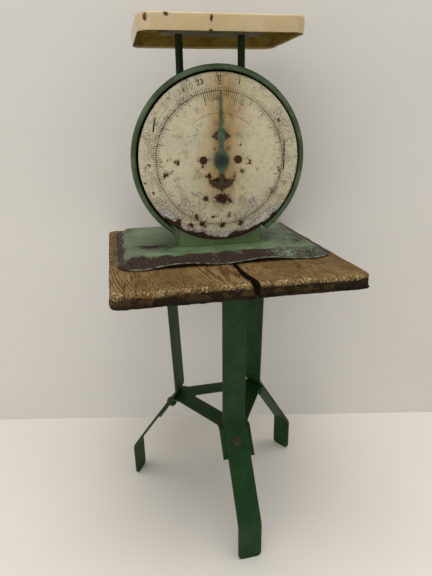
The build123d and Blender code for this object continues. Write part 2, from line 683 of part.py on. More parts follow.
def movement_frame():
    """Welded frame: front and back plates on turned-out feet, joined by two eared plates."""
    thick = FRAME_THICK
    wide = FRAME_HALF_WIDTH
    front = box_between((-wide, FRAME_FRONT, BASE_TOP), (wide, FRAME_FRONT + thick, FRAME_TOP))
    back = box_between((-wide, FRAME_BACK - thick, BASE_TOP), (wide, FRAME_BACK, FRAME_TOP))
    feet = box_between((-wide, FRAME_FRONT - FOOT_LENGTH, BASE_TOP), (wide, FRAME_FRONT, FOOT_TOP))
    feet += box_between((-wide, FRAME_BACK, BASE_TOP), (wide, FRAME_BACK + FOOT_LENGTH, FOOT_TOP))
    frame = front + back + feet + eared_plate(FRAME_TOP) + eared_plate(GUIDE_TOP)
    ahead = FRAME_FRONT - 5
    frame -= rod_along((0, ahead, HUB_HEIGHT), (0, 1, 0), BEARING_RADIUS + RUNNING, FRAME_DEPTH + 10)
    for side in SIDES:
        frame -= rod_along((side * DIAL_SCREW_X, ahead, HUB_HEIGHT), (0, 1, 0), PILLAR_TENON + RUNNING, 10)
    frame -= Pos(0, ROD_PLANE, FRAME_TOP) * Cylinder(STUD_RADIUS + 0.25, 6 * thick)
    for x, y in HOLD_DOWN_POINTS:
        frame -= Pos(x, y, BASE_TOP) * Cylinder(HOLD_DOWN_SHANK + FEED_THROUGH, 6 * thick)
    for z in GUIDE_SCREW_HEIGHTS:
        frame -= rod_along((GUIDE_SCREW_X, ahead, z), (0, 1, 0), GUIDE_SCREW_SHANK + FEED_THROUGH, 12)
    return frame


def rod_bushes():
    """Flanged brass bushes that guide the rods, two in the top plate and two in the lower one."""
    bore = ROD_RADIUS + RUNNING
    flange = 2.0
    bushes = []
    for side in SIDES:
        for top, rise in ((FRAME_TOP, BUSH_RISE), (GUIDE_TOP, 0.0)):
            low = top - FRAME_THICK
            body = Pos(0, 0, low) * tube(BUSH_RADIUS, bore, FRAME_THICK + rise)
            collar = Pos(0, 0, low - flange) * tube(BUSH_FLANGE, bore, flange)
            bushes.append(Pos(side * ROD_X, ROD_PLANE, 0) * (body + collar))
    return bushes


def shaft_bushes():
    """Flanged bearings for the pinion shaft in the front and back plates."""
    bore = SHAFT_RADIUS + RUNNING
    bushes = []
    for face, outward in ((FRAME_FRONT, -1), (FRAME_BACK, 1)):
        seat = Plane(origin=(0, face, HUB_HEIGHT), z_dir=(0, outward, 0))
        flange = tube(BEARING_FLANGE, bore, BEARING_LIP)
        length = FRAME_THICK + BEARING_LIP
        body = Pos(0, 0, -length) * tube(BEARING_RADIUS, bore, length)
        bushes.append(seat * (flange + body))
    return bushes


# ------------------------------------------------------------------ rack and pinion

def involute(base, radius, start_angle, side):
    """Point of an involute flank at a given radius."""
    roll = math.sqrt(max((radius / base) ** 2 - 1, 0))
    angle = start_angle + side * (roll - math.atan(roll))
    return (radius * math.cos(angle), radius * math.sin(angle))


def pinion_outline():
    """Sixteen involute teeth, with a gap centred on the +X side."""
    base = PITCH_RADIUS * math.cos(PRESSURE)
    tip = PITCH_RADIUS + MODULE
    root = PITCH_RADIUS - 1.25 * MODULE
    roll_at_pitch = math.tan(PRESSURE) - PRESSURE
    half_tooth = (math.pi * MODULE / 2 - BACKLASH) / (2 * PITCH_RADIUS)
    flank_radii = [base + (tip - base) * step / 4 for step in range(5)]
    points = []
    for tooth in range(PINION_TEETH):
        centre = 2 * math.pi * (tooth + 0.5) / PINION_TEETH
        low = centre - half_tooth - roll_at_pitch
        high = centre + half_tooth + roll_at_pitch
        points.append((root * math.cos(low), root * math.sin(low)))
        points += [involute(base, radius, low, 1) for radius in flank_radii]
        points += [involute(base, radius, high, -1) for radius in reversed(flank_radii)]
        points.append((root * math.cos(high), root * math.sin(high)))
    return make_face(Polyline(*points, close=True))


def pinion_shaft():
    """Shaft with the pinion cut on it, from the pointer at the front to the collar at the back."""
    start = POINTER_BACK - POINTER_SHEET - 2.4
    end = FRAME_BACK + 7
    shaft = rod_along((0, start, HUB_HEIGHT), (0, 1, 0), SHAFT_RADIUS, end - start)
    seat = Plane(origin=(0, PINION_FRONT, HUB_HEIGHT), x_dir=(1, 0, 0), z_dir=(0, -1, 0))
    teeth = seat * Pos(0, 0, -PINION_FACE) * extrude(pinion_outline(), PINION_FACE)
    return shaft + teeth


def shaft_collar():
    """Collar that keeps the shaft in place behind the back bearing."""
    seat = Plane(origin=(0, FRAME_BACK + BEARING_LIP + 0.1, HUB_HEIGHT), z_dir=(0, 1, 0))
    return seat * tube(5.0, SHAFT_RADIUS + RUNNING, 4.0)


def rack_outline():
    """Side view of the rack: a straight bar with teeth on its left edge beside the pinion."""
    pitch = math.pi * MODULE
    half = (pitch / 2 - BACKLASH) / 2
    lean = MODULE * math.tan(PRESSURE)
    root_lean = 1.25 * lean
    tip_x = PITCH_RADIUS - MODULE
    root_x = PITCH_RADIUS + 1.25 * MODULE
    first = -5
    last = math.ceil((TRAVEL + 5) / pitch)
    points = [(RACK_SIDE, YOKE_BOTTOM), (root_x, YOKE_BOTTOM)]
    for tooth in range(first, last + 1):
        centre = HUB_HEIGHT + tooth * pitch
        points += [(root_x, centre - half - root_lean), (tip_x, centre - half + lean),
                   (tip_x, centre + half - lean), (root_x, centre + half + root_lean)]
    points += [(root_x, RACK_TOP), (RACK_SIDE, RACK_TOP)]
    return make_face(Plane.XZ * Polyline(*points, close=True))


def rack():
    """Toothed bar that stands on the front of the yoke."""
    bar = Pos(0, RACK_FRONT, 0) * extrude(rack_outline(), RACK_BACK - RACK_FRONT, dir=(0, 1, 0))
    for x, z in RACK_SCREWS:
        bar -= rod_along((x, 0, z), (0, 1, 0), RACK_SCREW_SHANK + FEED_THROUGH, 60)
    return bar


def rack_screws():
    """Two small screws from the rack into the yoke."""
    return [pan_screw((x, RACK_FRONT, z), (0, 1, 0), RACK_SCREW_SHANK, RACK_BACK - RACK_FRONT + YOKE_THICK)
            for x, z in RACK_SCREWS]


def rack_guide():
    """Angle on the frame that keeps the rack against the pinion."""
    gap = 0.1
    reach = RACK_BACK - 0.5
    inside = FRAME_FRONT + FRAME_THICK
    back_x = RACK_SIDE + gap
    low = HUB_HEIGHT - GUIDE_HALF_HEIGHT
    high = HUB_HEIGHT + GUIDE_HALF_HEIGHT
    cheek = box_between((back_x, inside, low), (back_x + GUIDE_SHEET, reach, high))
    foot = box_between((back_x, inside, low), (GUIDE_SCREW_X + 5, inside + GUIDE_SHEET, high))
    guide = cheek + foot
    for z in GUIDE_SCREW_HEIGHTS:
        guide -= rod_along((GUIDE_SCREW_X, FRAME_FRONT, z), (0, 1, 0), GUIDE_SCREW_SHANK + FEED_THROUGH, 40)
    return guide


def guide_screws():
    """Screws from the front plate into the rack guide."""
    length = FRAME_THICK + GUIDE_SHEET + 1.5
    return [pan_screw((GUIDE_SCREW_X, FRAME_FRONT, z), (0, 1, 0), GUIDE_SCREW_SHANK, length, head=1.5)
            for z in GUIDE_SCREW_HEIGHTS]


# ------------------------------------------------------------------ yoke, hanger and springs

def edge_bar(half_length, low, high, eye_height):
    """Bar on edge in the rod plane with an eye hole for each spring."""
    bar = box_between((-half_length, ROD_PLANE - YOKE_THICK / 2, low),
                      (half_length, ROD_PLANE + YOKE_THICK / 2, high))
    for side in SIDES:
        bar -= rod_along((side * SPRING_X, 0, eye_height), (0, 1, 0), EYE_RADIUS, 80)
    return bar


def yoke():
    """Crosshead pinned to both rods; the springs pull up on it and it carries the rack."""
    bar = edge_bar(ROD_X, YOKE_BOTTOM, YOKE_TOP, LOWER_EYE)
    for side in SIDES:
        bar += Pos(side * ROD_X, ROD_PLANE, PIN_HEIGHT) * Cylinder(YOKE_BOSS, YOKE_HEIGHT)
    for side in SIDES:
        bar -= Pos(side * ROD_X, ROD_PLANE, PIN_HEIGHT) * Cylinder(ROD_RADIUS + RUNNING, 3 * YOKE_HEIGHT)
        bar -= rod_along((side * ROD_X, 0, PIN_HEIGHT), (0, 1, 0), PIN_RADIUS + RUNNING, 80)
    for x, z in RACK_SCREWS:
        bar -= rod_along((x, 0, z), (0, 1, 0), RACK_SCREW_SHANK + RUNNING, 80)
    return bar


def yoke_pins():
    """Cross pins through the yoke's bosses and the rods."""
    start = ROD_PLANE - PIN_LENGTH / 2
    return [rod_along((side * ROD_X, start, PIN_HEIGHT), (0, 1, 0), PIN_RADIUS, PIN_LENGTH)
            for side in SIDES]


def nut_head_low():
    """Height of the underside of the zero nut's head, just clear of the sloping drum."""
    return HUB_HEIGHT + drum_radius(ROD_PLANE - NUT_HEAD_RADIUS) + 0.3


def spring_hanger():
    """Bar that holds the upper spring ends, hung on a threaded stud."""
    top = HANGER_BOTTOM + YOKE_HEIGHT
    bar = edge_bar(HANGER_HALF_LENGTH, HANGER_BOTTOM, top, UPPER_EYE)
    stud_top = nut_head_low() + NUT_HEAD - 1
    return bar + rod_along((0, ROD_PLANE, top), (0, 0, 1), STUD_RADIUS, stud_top - top)


def zero_nut():
    """Knurled thumb nut that sets the pointer to zero; it rests on the frame's top plate."""
    head_low = nut_head_low()
    head_high = head_low + NUT_HEAD
    nut = rod_along((0, 0, FRAME_TOP), (0, 0, 1), NUT_BODY_RADIUS, head_low - FRAME_TOP)
    nut += rod_along((0, 0, head_low), (0, 0, 1), NUT_HEAD_RADIUS, NUT_HEAD)
    for groove in range(NUT_GROOVES):
        turn = Rot(0, 0, groove * 360 / NUT_GROOVES)
        nut -= turn * Pos(NUT_HEAD_RADIUS, 0, head_high) * Cylinder(0.55, 2 * NUT_HEAD)
    nut -= rod_along((0, 0, FRAME_TOP - 1), (0, 0, 1), STUD_RADIUS + RUNNING, 30)
    return Pos(0, ROD_PLANE, 0) * nut


def spring(side):
    """Extension spring with a half hook at each end through the yoke's and the hanger's eyes."""
    low = LOWER_EYE + SPRING_RADIUS
    length = UPPER_EYE - SPRING_RADIUS - low
    path = Rot(0, 0, 90) * Helix(pitch=length / SPRING_TURNS, height=length, radius=SPRING_RADIUS)
    start = Plane(origin=path @ 0, z_dir=path % 0)
    coil = sweep(start * Circle(SPRING_WIRE), path=path, is_frenet=True)
    hook = revolve(Pos(0, SPRING_RADIUS) * Circle(SPRING_WIRE), Axis.X, 180)
    whole = coil + Pos(0, 0, length) * hook + Rot(180, 0, 180) * hook
    return Pos(side * SPRING_X, ROD_PLANE, low) * whole


# ------------------------------------------------------------------ rods and platform

def rod(side):
    """Round rod from the lower guide to the platform bracket, with a threaded tip."""
    x = side * ROD_X
    bar = rod_along((x, ROD_PLANE, ROD_BOTTOM), (0, 0, 1), ROD_RADIUS, ROD_SHOULDER - ROD_BOTTOM)
    bar = chamfer(bar.edges().group_by(Axis.Z)[0], ROD_CHAMFER)
    bar += rod_along((x, ROD_PLANE, ROD_SHOULDER), (0, 0, 1), ROD_TIP_RADIUS, ROD_TIP_LENGTH)
    bar -= rod_along((x, 0, PIN_HEIGHT), (0, 1, 0), PIN_RADIUS + RUNNING, 80)
    return bar


def rod_nuts():
    """Nuts that clamp the rod tips in the platform bracket."""
    face = ROD_SHOULDER + HAT_SHEET
    return [hex_nut((side * ROD_X, ROD_PLANE, face), (0, 0, 1), ROD_TIP_RADIUS + RUNNING, 10.0, 5.0)
            for side in SIDES]


def platform_bracket():
    """Hat-section strip spot-welded under the platform, with a hole for each rod tip."""
    half = HAT_SHEET / 2
    high = PLATFORM_TOP - SHEET - half
    low = ROD_SHOULDER + half
    inner = HAT_HALF_WIDTH
    outer = HAT_HALF_WIDTH + HAT_FLANGE
    outline = [(-outer, high), (-inner, high), (-inner, low), (inner, low), (inner, high), (outer, high)]
    points = [(0, ROD_PLANE + y, z) for y, z in outline]
    strip = bent_strip(points, 2.0, HAT_LENGTH, HAT_SHEET, (1, 0, 0))
    for side in SIDES:
        strip -= Pos(side * ROD_X, ROD_PLANE, ROD_SHOULDER) * Cylinder(ROD_TIP_RADIUS + FEED_THROUGH, 20)
    return strip


def platform():
    """Shallow pan upside down: a flat top with a turned-down skirt."""
    edge = 3.0
    outer = extrude(RectangleRounded(PLATFORM_WIDTH, PLATFORM_DEPTH, PLATFORM_CORNER), PLATFORM_SKIRT)
    outer = fillet(outer.faces().sort_by(Axis.Z)[-1].edges(), edge)
    inner = extrude(RectangleRounded(PLATFORM_WIDTH - 2 * SHEET, PLATFORM_DEPTH - 2 * SHEET,
                                     PLATFORM_CORNER - SHEET), PLATFORM_SKIRT - SHEET)
    inner = fillet(inner.faces().sort_by(Axis.Z)[-1].edges(), edge - SHEET)
    return Pos(PLATFORM_SHIFT, ROD_PLANE, PLATFORM_TOP - PLATFORM_SKIRT) * (outer - inner)


# ------------------------------------------------------------------ nodes

NODES = {
    "wood_top": [wood_top()],
    "leg_brace": [brace()],
    "brace_bolts": around_stand(brace_bolt),
    "brace_nuts": around_stand(brace_nut),
    "leg_screws": leg_screws(),
    "base_shell": [base_shell()],
    "neck": [neck()],
    "neck_rivets": neck_rivets(),
    "hold_down_bolts": hold_down_bolts(),
    "hold_down_spacers": hold_down_spacers(),
    "hold_down_nuts": hold_down_nuts(),
    "drum_band": [drum_band()],
    "band_brackets": [band_bracket(side) for side in SIDES],
    "band_screws": band_screws(),
    "back_cover": [back_cover()],
    "cover_screws": cover_screws(),
    "dial_plate": [dial_plate()],
    "dial_screws": dial_screws(),
    "dial_pillars": dial_pillars(),
    "pointer": [pointer()],
    "pointer_nut": [pointer_nut()],
    "movement_frame": [movement_frame()],
    "rod_bushes": rod_bushes(),
    "shaft_bushes": shaft_bushes(),
    "pinion_shaft": [pinion_shaft()],
    "shaft_collar": [shaft_collar()],
    "rack": [rack()],
    "rack_screws": rack_screws(),
    "rack_guide": [rack_guide()],
    "guide_screws": guide_screws(),
    "yoke": [yoke()],
    "yoke_pins": yoke_pins(),
    "spring_hanger": [spring_hanger()],
    "zero_nut": [zero_nut()],
    "spring_left": [spring(-1)],
    "spring_right": [spring(1)],
    "rod_left": [rod(-1)],
    "rod_right": [rod(1)],
    "rod_nuts": rod_nuts(),
    "platform_bracket": [platform_bracket()],
    "platform": [platform()],
}
for name, angle in LEG_ANGLES.items():
    NODES["leg_" + name] = [Pos(0, STAND_Y, 0) * Rot(0, 0, angle) * leg()]

os.makedirs("parts", exist_ok=True)
for node, pieces in NODES.items():
    solids = [solid for piece in pieces for solid in piece.solids()]
    export_step(Compound(solids), f"parts/{node}.step")
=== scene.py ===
import itertools
import math

import bmesh
import bpy
import numpy as np
from mathutils import Matrix, Vector


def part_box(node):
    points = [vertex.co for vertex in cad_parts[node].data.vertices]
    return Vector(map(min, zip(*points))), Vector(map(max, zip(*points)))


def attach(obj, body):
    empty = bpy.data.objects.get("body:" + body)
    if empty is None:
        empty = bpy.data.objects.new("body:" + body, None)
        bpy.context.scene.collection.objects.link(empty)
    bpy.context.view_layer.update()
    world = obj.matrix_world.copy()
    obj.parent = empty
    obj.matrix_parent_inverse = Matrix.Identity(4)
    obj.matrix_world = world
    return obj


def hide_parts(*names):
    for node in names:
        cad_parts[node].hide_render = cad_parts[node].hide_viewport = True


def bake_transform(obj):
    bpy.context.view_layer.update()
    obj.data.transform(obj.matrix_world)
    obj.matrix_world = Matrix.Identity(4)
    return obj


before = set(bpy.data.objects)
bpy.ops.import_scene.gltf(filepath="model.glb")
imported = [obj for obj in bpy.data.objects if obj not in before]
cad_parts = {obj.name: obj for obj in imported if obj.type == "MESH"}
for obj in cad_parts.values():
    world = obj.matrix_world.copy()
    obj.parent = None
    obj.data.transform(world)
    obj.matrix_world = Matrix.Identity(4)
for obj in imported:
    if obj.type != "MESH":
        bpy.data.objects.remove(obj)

# Looks for a spring platform scale on its three-legged stand. Mesh code works in millimetres and is
# scaled to metres when a mesh is made. X points right, Y points to the back and Z points up.

MM = 0.001
PLAN = (1, 1, 0)
SCENE = bpy.context.scene
bpy.context.view_layer.update()


# ---------------- numbers from the frame

def box_mm(node):
    """Lowest and highest corner of a CAD node, in millimetres."""
    low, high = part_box(node)
    return np.array(low) / MM, np.array(high) / MM


def middle(node):
    """Centre of a CAD node's box, in millimetres."""
    low, high = box_mm(node)
    return (low + high) / 2


HUB = middle("pointer_nut")
ROD_PLANE = middle("rod_left")[1]
DIAL_LOW, DIAL_HIGH = box_mm("dial_plate")
DIAL_RADIUS = (DIAL_HIGH[0] - DIAL_LOW[0]) / 2


# ---------------- noise and shaping

def smooth(value, low, high):
    """0 below low, 1 above high and an S-curve between; low may be the larger."""
    t = np.clip((value - low) / (high - low), 0, 1)
    return t * t * (3 - 2 * t)


def lattice_noise(points, seed):
    """Smooth noise in 0..1 with one random value at each whole-number point."""
    cell = np.floor(points).astype(np.int64)
    part = points - cell
    part = part * part * (3 - 2 * part)
    total = np.zeros(len(points))
    for corner in itertools.product((0, 1), repeat=3):
        key = (cell + corner) * (73856093, 19349663, 83492791)
        value = (key[:, 0] ^ key[:, 1] ^ key[:, 2] ^ (seed * 2654435761)) & 0xFFFFFFFF
        value = ((value ^ (value >> 15)) * 2246822519) & 0xFFFFFFFF
        value = ((value ^ (value >> 13)) * 3266489917) & 0xFFFFFFFF
        weight = np.prod(np.where(corner, part, 1 - part), axis=1)
        total += weight * ((value >> 16) & 0xFFFF) / 0xFFFF
    return total


def fractal(points, size, seed, octaves=4):
    """Layered noise in 0..1; size is the feature size in millimetres, one number or one per axis."""
    scaled = np.asarray(points) / np.asarray(size, float)
    total = np.zeros(len(scaled))
    weight = 1.0
    whole = 0.0
    for octave in range(octaves):
        total += weight * lattice_noise(scaled * 2 ** octave, seed + octave)
        whole += weight
        weight *= 0.55
    return total / whole


def blob(u, v, centre, size):
    """Soft spot: 1 at its centre and 0 beyond size, which is one number or one per direction."""
    size = np.broadcast_to(np.asarray(size, float), 2)
    away = np.hypot((u - centre[0]) / size[0], (v - centre[1]) / size[1])
    return smooth(away, 1, 0)


# ---------------- mesh making

def add_object(name, data):
    """New object in the scene."""
    item = bpy.data.objects.new(name, data)
    SCENE.collection.objects.link(item)
    return item


def build(name, points, faces):
    """New mesh object from points in millimetres."""
    mesh = bpy.data.meshes.new(name)
    mesh.from_pydata((np.asarray(points) * MM).tolist(), [], [tuple(face) for face in faces])
    mesh.update()
    return add_object(name, mesh)


def read_vertices(piece, kind):
    """One "co" or "normal" vector per vertex, in the mesh's own units."""
    flat = np.zeros(len(piece.data.vertices) * 3, np.float32)
    piece.data.vertices.foreach_get(kind, flat)
    return flat.reshape(-1, 3).astype(float)


def corners(piece):
    """Vertex positions in millimetres."""
    return read_vertices(piece, "co") / MM


def move_corners(piece, points):
    """Writes vertex positions given in millimetres."""
    piece.data.vertices.foreach_set("co", (points * MM).astype(np.float32).ravel())
    piece.data.update()


def mark(piece, name, values):
    """Stores one number per vertex for the piece's material to read."""
    layer = piece.data.attributes.new(name, "FLOAT", "POINT")
    layer.data.foreach_set("value", np.clip(values, 0, 1).astype(np.float32))


def grid_quads(rows, columns, wrap):
    """Quads between the points of a row-by-column grid; wrap joins the last column to the first."""
    row, column = np.mgrid[:rows - 1, :columns if wrap else columns - 1]
    after = (column + 1) % columns
    low = row * columns
    high = low + columns
    return np.stack([low + column, low + after, high + after, high + column], -1).reshape(-1, 4)


def box_skin(low, high, cells):
    """Points and quads of a closed box with even cells on every side."""
    grids = []
    quads = []
    count = 0
    for axis in range(3):
        u, v = (axis + 1) % 3, (axis + 2) % 3
        for end in (0, cells[axis]):
            step_u, step_v = np.mgrid[:cells[u] + 1, :cells[v] + 1]
            grid = np.zeros(step_u.shape + (3,), int)
            grid[..., u] = step_u
            grid[..., v] = step_v
            grid[..., axis] = end
            quad = grid_quads(cells[u] + 1, cells[v] + 1, False) + count
            quads.append(quad if end == 0 else quad[:, ::-1])
            grids.append(grid.reshape(-1, 3))
            count += step_u.size
    whole, place = np.unique(np.concatenate(grids), axis=0, return_inverse=True)
    points = low + whole / np.array(cells) * (high - low)
    return points, place.reshape(-1)[np.concatenate(quads)]


def rounded_ring(half_x, half_y, radius, per_side, per_corner):
    """Points round a rounded rectangle, counter-clockwise from the front right."""
    ring = []
    straight = (half_x - radius, half_y - radius)
    centres = [np.array(side) * straight for side in ((1, -1), (1, 1), (-1, 1), (-1, -1))]
    for number, centre in enumerate(centres):
        for step in range(per_corner):
            angle = math.radians(90 * (number - 1 + step / per_corner))
            ring.append(centre + radius * np.array([math.cos(angle), math.sin(angle)]))
        angle = math.radians(90 * number)
        begin = centre + radius * np.array([math.cos(angle), math.sin(angle)])
        along = centres[(number + 1) % 4] - centre
        ring += [begin + along * step / per_side for step in range(per_side)]
    return np.array(ring)


def pressed_shell(half, corner, section, centre, per_side=70, per_corner=12):
    """Closed sheet shell whose section of (inset, height) pairs runs round a rounded rectangle.

    Returns points, quads and the inset of every point.
    """
    points = []
    insets = []
    for inset, height in section:
        ring = rounded_ring(*(half - inset), max(corner - inset, 0.4), per_side, per_corner)
        points.append(np.insert(ring + centre[:2], 2, height, axis=1))
        insets += [inset] * len(ring)
    columns = len(points[0])
    ring = np.arange(columns)
    last = (len(section) - 1) * columns
    quads = [*grid_quads(len(section), columns, True)[:, ::-1], ring, (last + ring)[::-1]]
    return np.concatenate(points), quads, np.array(insets)


def lathe(section, segments):
    """Closed ring about the hub axis from a closed section of (radius, y) pairs."""
    turn = np.linspace(0, 2 * np.pi, segments, endpoint=False)
    rows = [np.stack([radius * np.sin(turn), np.full(segments, y), radius * np.cos(turn) + HUB[2]], 1)
            for radius, y in section]
    quads = grid_quads(len(section) + 1, segments, True) % (len(section) * segments)
    return np.concatenate(rows), quads


def arc(centre, radius, start, finish, steps):
    """Points (a, b) on an arc; angles in degrees."""
    angles = np.radians(np.linspace(start, finish, steps + 1))
    return [(centre[0] + radius * math.cos(a), centre[1] + radius * math.sin(a)) for a in angles]


def cut(piece, cutter):
    """Subtracts one mesh from another and removes the cutter."""
    modifier = piece.modifiers.new("cut", "BOOLEAN")
    modifier.operation = "DIFFERENCE"
    modifier.solver = "EXACT"
    modifier.object = cutter
    graph = bpy.context.evaluated_depsgraph_get()
    mesh = bpy.data.meshes.new_from_object(piece.evaluated_get(graph))
    piece.modifiers.clear()
    piece.data = mesh
    bpy.data.objects.remove(cutter)


def drill(piece, spots, radius, axis, low, high, sides=24):
    """Cuts a round hole through the piece at each spot, along an axis between two levels."""
    turn = np.linspace(0, 2 * np.pi, sides, endpoint=False)
    circle = radius * np.stack([np.cos(turn), np.sin(turn)], 1)
    ring = np.arange(sides)
    points = []
    faces = []
    for spot in spots:
        first = len(points) * sides
        points += [np.insert(circle + spot, axis, level, axis=1) for level in (low, high)]
        faces += [*(grid_quads(2, sides, True) + first), (first + ring)[::-1], first + sides + ring]
    cutter = build("drill", np.concatenate(points), faces)
    fix_normals(cutter)
    cut(piece, cutter)


def fix_normals(piece):
    """Turns every face of a closed mesh outwards."""
    work = bmesh.new()
    work.from_mesh(piece.data)
    bmesh.ops.recalc_face_normals(work, faces=work.faces)
    work.to_mesh(piece.data)
    work.free()


def finish_piece(piece, body, slot, material, *nodes):
    """Smooth shading, material, body and the CAD nodes the piece stands for, which it hides. The slot
    argument is not used.
    """
    piece.data.shade_smooth()
    piece.data.materials.clear()
    piece.data.materials.append(material)
    if body:
        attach(piece, body)
    if nodes:
        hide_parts(*nodes)


# ---------------- materials

def rgb(red, green, blue):
    """Linear colour from 0..255 display values."""
    def linear(value):
        share = value / 255
        return share / 12.92 if share <= 0.04045 else ((share + 0.055) / 1.055) ** 2.4
    return (linear(red), linear(green), linear(blue), 1.0)


class Value:
    """A number or colour inside a material; arithmetic on a number adds Math nodes."""

    def __init__(self, look, socket):
        self.look = look
        self.socket = socket

    def __add__(self, other):
        return self.look.math("ADD", self, other)

    def __sub__(self, other):
        return self.look.math("SUBTRACT", self, other)

    def __rsub__(self, other):
        return self.look.math("SUBTRACT", other, self)

    def __mul__(self, other):
        return self.look.math("MULTIPLY", self, other)

    def __truediv__(self, other):
        return self.look.math("DIVIDE", self, other)

    def step(self, low, high):
        """Smooth step from 0 at low to 1 at high; low may be the larger."""
        node = self.look.node("MapRange", Value=self, From_Min=min(low, high), From_Max=max(low, high),
                              To_Min=float(low > high), To_Max=float(low < high))
        node.interpolation_type = "SMOOTHSTEP"
        return Value(self.look, node.outputs["Result"])


class Surface:
    """One material's node tree. Sizes are in millimetres; places come from object coordinates."""

    def __init__(self, name):
        self.material = bpy.data.materials.new(name)
        self.material.use_nodes = True
        self.nodes = self.material.node_tree.nodes
        self.links = self.material.node_tree.links
        self.shader = self.nodes["Principled BSDF"]
        self.place = Value(self, self.node("TexCoord").outputs["Object"])
        self.relief = None

    def feed(self, socket, value):
        """Links or sets one input."""
        if isinstance(value, Value):
            self.links.new(value.socket, socket)
        else:
            socket.default_value = value

    def node(self, kind, **inputs):
        """New node with its inputs linked or set; an underscore stands for a space in an input's name."""
        node = self.nodes.new("ShaderNode" + kind)
        for name, value in inputs.items():
            self.feed(node.inputs[name.replace("_", " ")], value)
        return node

    def math(self, operation, first, second=0.0):
        """Math node on one or two values."""
        node = self.node("Math")
        node.operation = operation
        self.feed(node.inputs[0], first)
        self.feed(node.inputs[1], second)
        return Value(self, node.outputs[0])

    def noise(self, size, detail=5, roughness=0.6, stretch=(1, 1, 1), seed=0.0):
        """Noise in 0..1 with features about size across, drawn out along the stretched axes."""
        scale = [1 / share for share in stretch]
        mapping = self.node("Mapping", Vector=self.place, Scale=scale, Location=(seed, seed, seed))
        place = Value(self, mapping.outputs["Vector"])
        node = self.node("TexNoise", Vector=place, Scale=1 / (size * MM), Detail=detail,
                         Roughness=roughness)
        return Value(self, node.outputs["Fac"])

    def mix(self, share, first, second):
        """Colour mix; share 0 gives the first colour."""
        node = self.node("Mix")
        node.data_type = "RGBA"
        self.feed(node.inputs["Factor"], share)
        self.feed(node.inputs[6], first)
        self.feed(node.inputs[7], second)
        return Value(self, node.outputs[2])

    def axes(self):
        """The place's X, Y and Z in metres."""
        node = self.node("SeparateXYZ", Vector=self.place)
        return [Value(self, output) for output in node.outputs]

    def stored(self, name):
        """A number stored on the mesh."""
        node = self.node("Attribute")
        node.attribute_name = name
        return Value(self, node.outputs["Fac"])

    def edges(self, reach):
        """Nearly 1 within reach of a sharp edge, 0 on open faces."""
        bevel = self.node("Bevel", Radius=reach * MM)
        bevel.samples = 6
        node = self.node("VectorMath")
        node.operation = "DOT_PRODUCT"
        self.links.new(bevel.outputs["Normal"], node.inputs[0])
        self.links.new(self.node("NewGeometry").outputs["Normal"], node.inputs[1])
        return Value(self, node.outputs["Value"]).step(0.995, 0.86)

    def bump(self, height, depth, strength):
        """Adds relief of a given depth on top of the relief so far."""
        node = self.node("Bump", Height=height, Distance=depth * MM, Strength=strength)
        if self.relief:
            self.links.new(self.relief, node.inputs["Normal"])
        self.relief = node.outputs["Normal"]

    def done(self, base, roughness, metallic=0.0, coat=0.0, shine=0.3):
        """Connects the shader's inputs and returns the material; shine sets how strongly it mirrors."""
        inputs = {"Base Color": base, "Roughness": roughness, "Metallic": metallic, "Coat Weight": coat,
                  "Specular IOR Level": shine}
        for name, value in inputs.items():
            self.feed(self.shader.inputs[name], value)
        if self.relief:
            self.links.new(self.relief, self.shader.inputs["Normal"])
        return self.material


def rust_colour(look, size):
    """Mottled rust."""
    return look.mix(look.noise(size, 6, 0.7, seed=9.1).step(0.4, 0.65), rgb(46, 30, 22), rgb(120, 70, 40))


def old_paint(name, tone, faded, chips=0.62, edge=0.5, gloss=0.35, size=9.0, shine=0.25):
    """Brushed enamel paint on steel: uneven tone, grime, chips down to rust, most of them on edges."""
    look = Surface(name)
    paint = look.mix(look.noise(size * 4, 4, 0.6, seed=1.3).step(0.35, 0.7), tone, faded)
    grime = look.mix(0.55, tone, rgb(20, 20, 12))
    paint = look.mix(look.noise(size * 2, 6, 0.7, seed=4.4).step(0.5, 0.72) * 0.35, paint, grime)
    speck = look.noise(size * 0.45, 6, 0.72, seed=2.7)
    chip = (speck + look.edges(1.6) * (edge * 0.25)).step(chips, chips + 0.035)
    base = look.mix(chip, paint, rust_colour(look, size * 0.3))
    look.bump(look.noise(size * 0.8, 3, 0.5, seed=3.9), 0.25, 0.35)
    look.bump(1.0 - chip, 0.12, 0.8)
    return look.done(base, chip * 0.4 + gloss + look.noise(size, 4, 0.6, seed=7.7) * 0.2, shine=shine)


def bare_metal(name, tone, stain):
    """Machined metal with a dull film and a little rust or tarnish."""
    look = Surface(name)
    film = look.noise(6.0, 6, 0.7, seed=5.2).step(0.42, 0.68)
    look.bump(look.noise(0.8, 4, 0.6, stretch=(1, 1, 6), seed=0.4), 0.03, 0.5)
    return look.done(look.mix(film, tone, stain), film * 0.35 + 0.38, metallic=0.9 - film * 0.6)


def rusty(name):
    """Steel that has rusted all over."""
    look = Surface(name)
    base = look.mix(look.noise(2.0, 6, 0.75, seed=8.0).step(0.4, 0.62), rgb(34, 20, 14), rgb(86, 48, 28))
    look.bump(look.noise(0.9, 6, 0.75, seed=6.0), 0.2, 0.9)
    return look.done(base, 0.85)


def wood_grain(look):
    """Growth rings in 0..1 round a pith that runs front to back."""
    across, along, up = look.axes()
    wander = look.noise(70.0, 2, 0.5, stretch=(1, 4, 1), seed=8.2)
    shake = look.noise(7.0, 3, 0.6, stretch=(1, 7, 1), seed=1.7)
    across = across - PITH[0] * MM + along * 0.16
    up = up - (WOOD_HIGH[2] + PITH[1]) * MM
    radius = look.math("SQRT", across * across + up * up) + wander * (26 * MM) + shake * (4 * MM)
    phase = look.math("FRACT", radius / (RING_PITCH * MM))
    return phase.step(0.0, 0.7) * phase.step(1.0, 0.8)


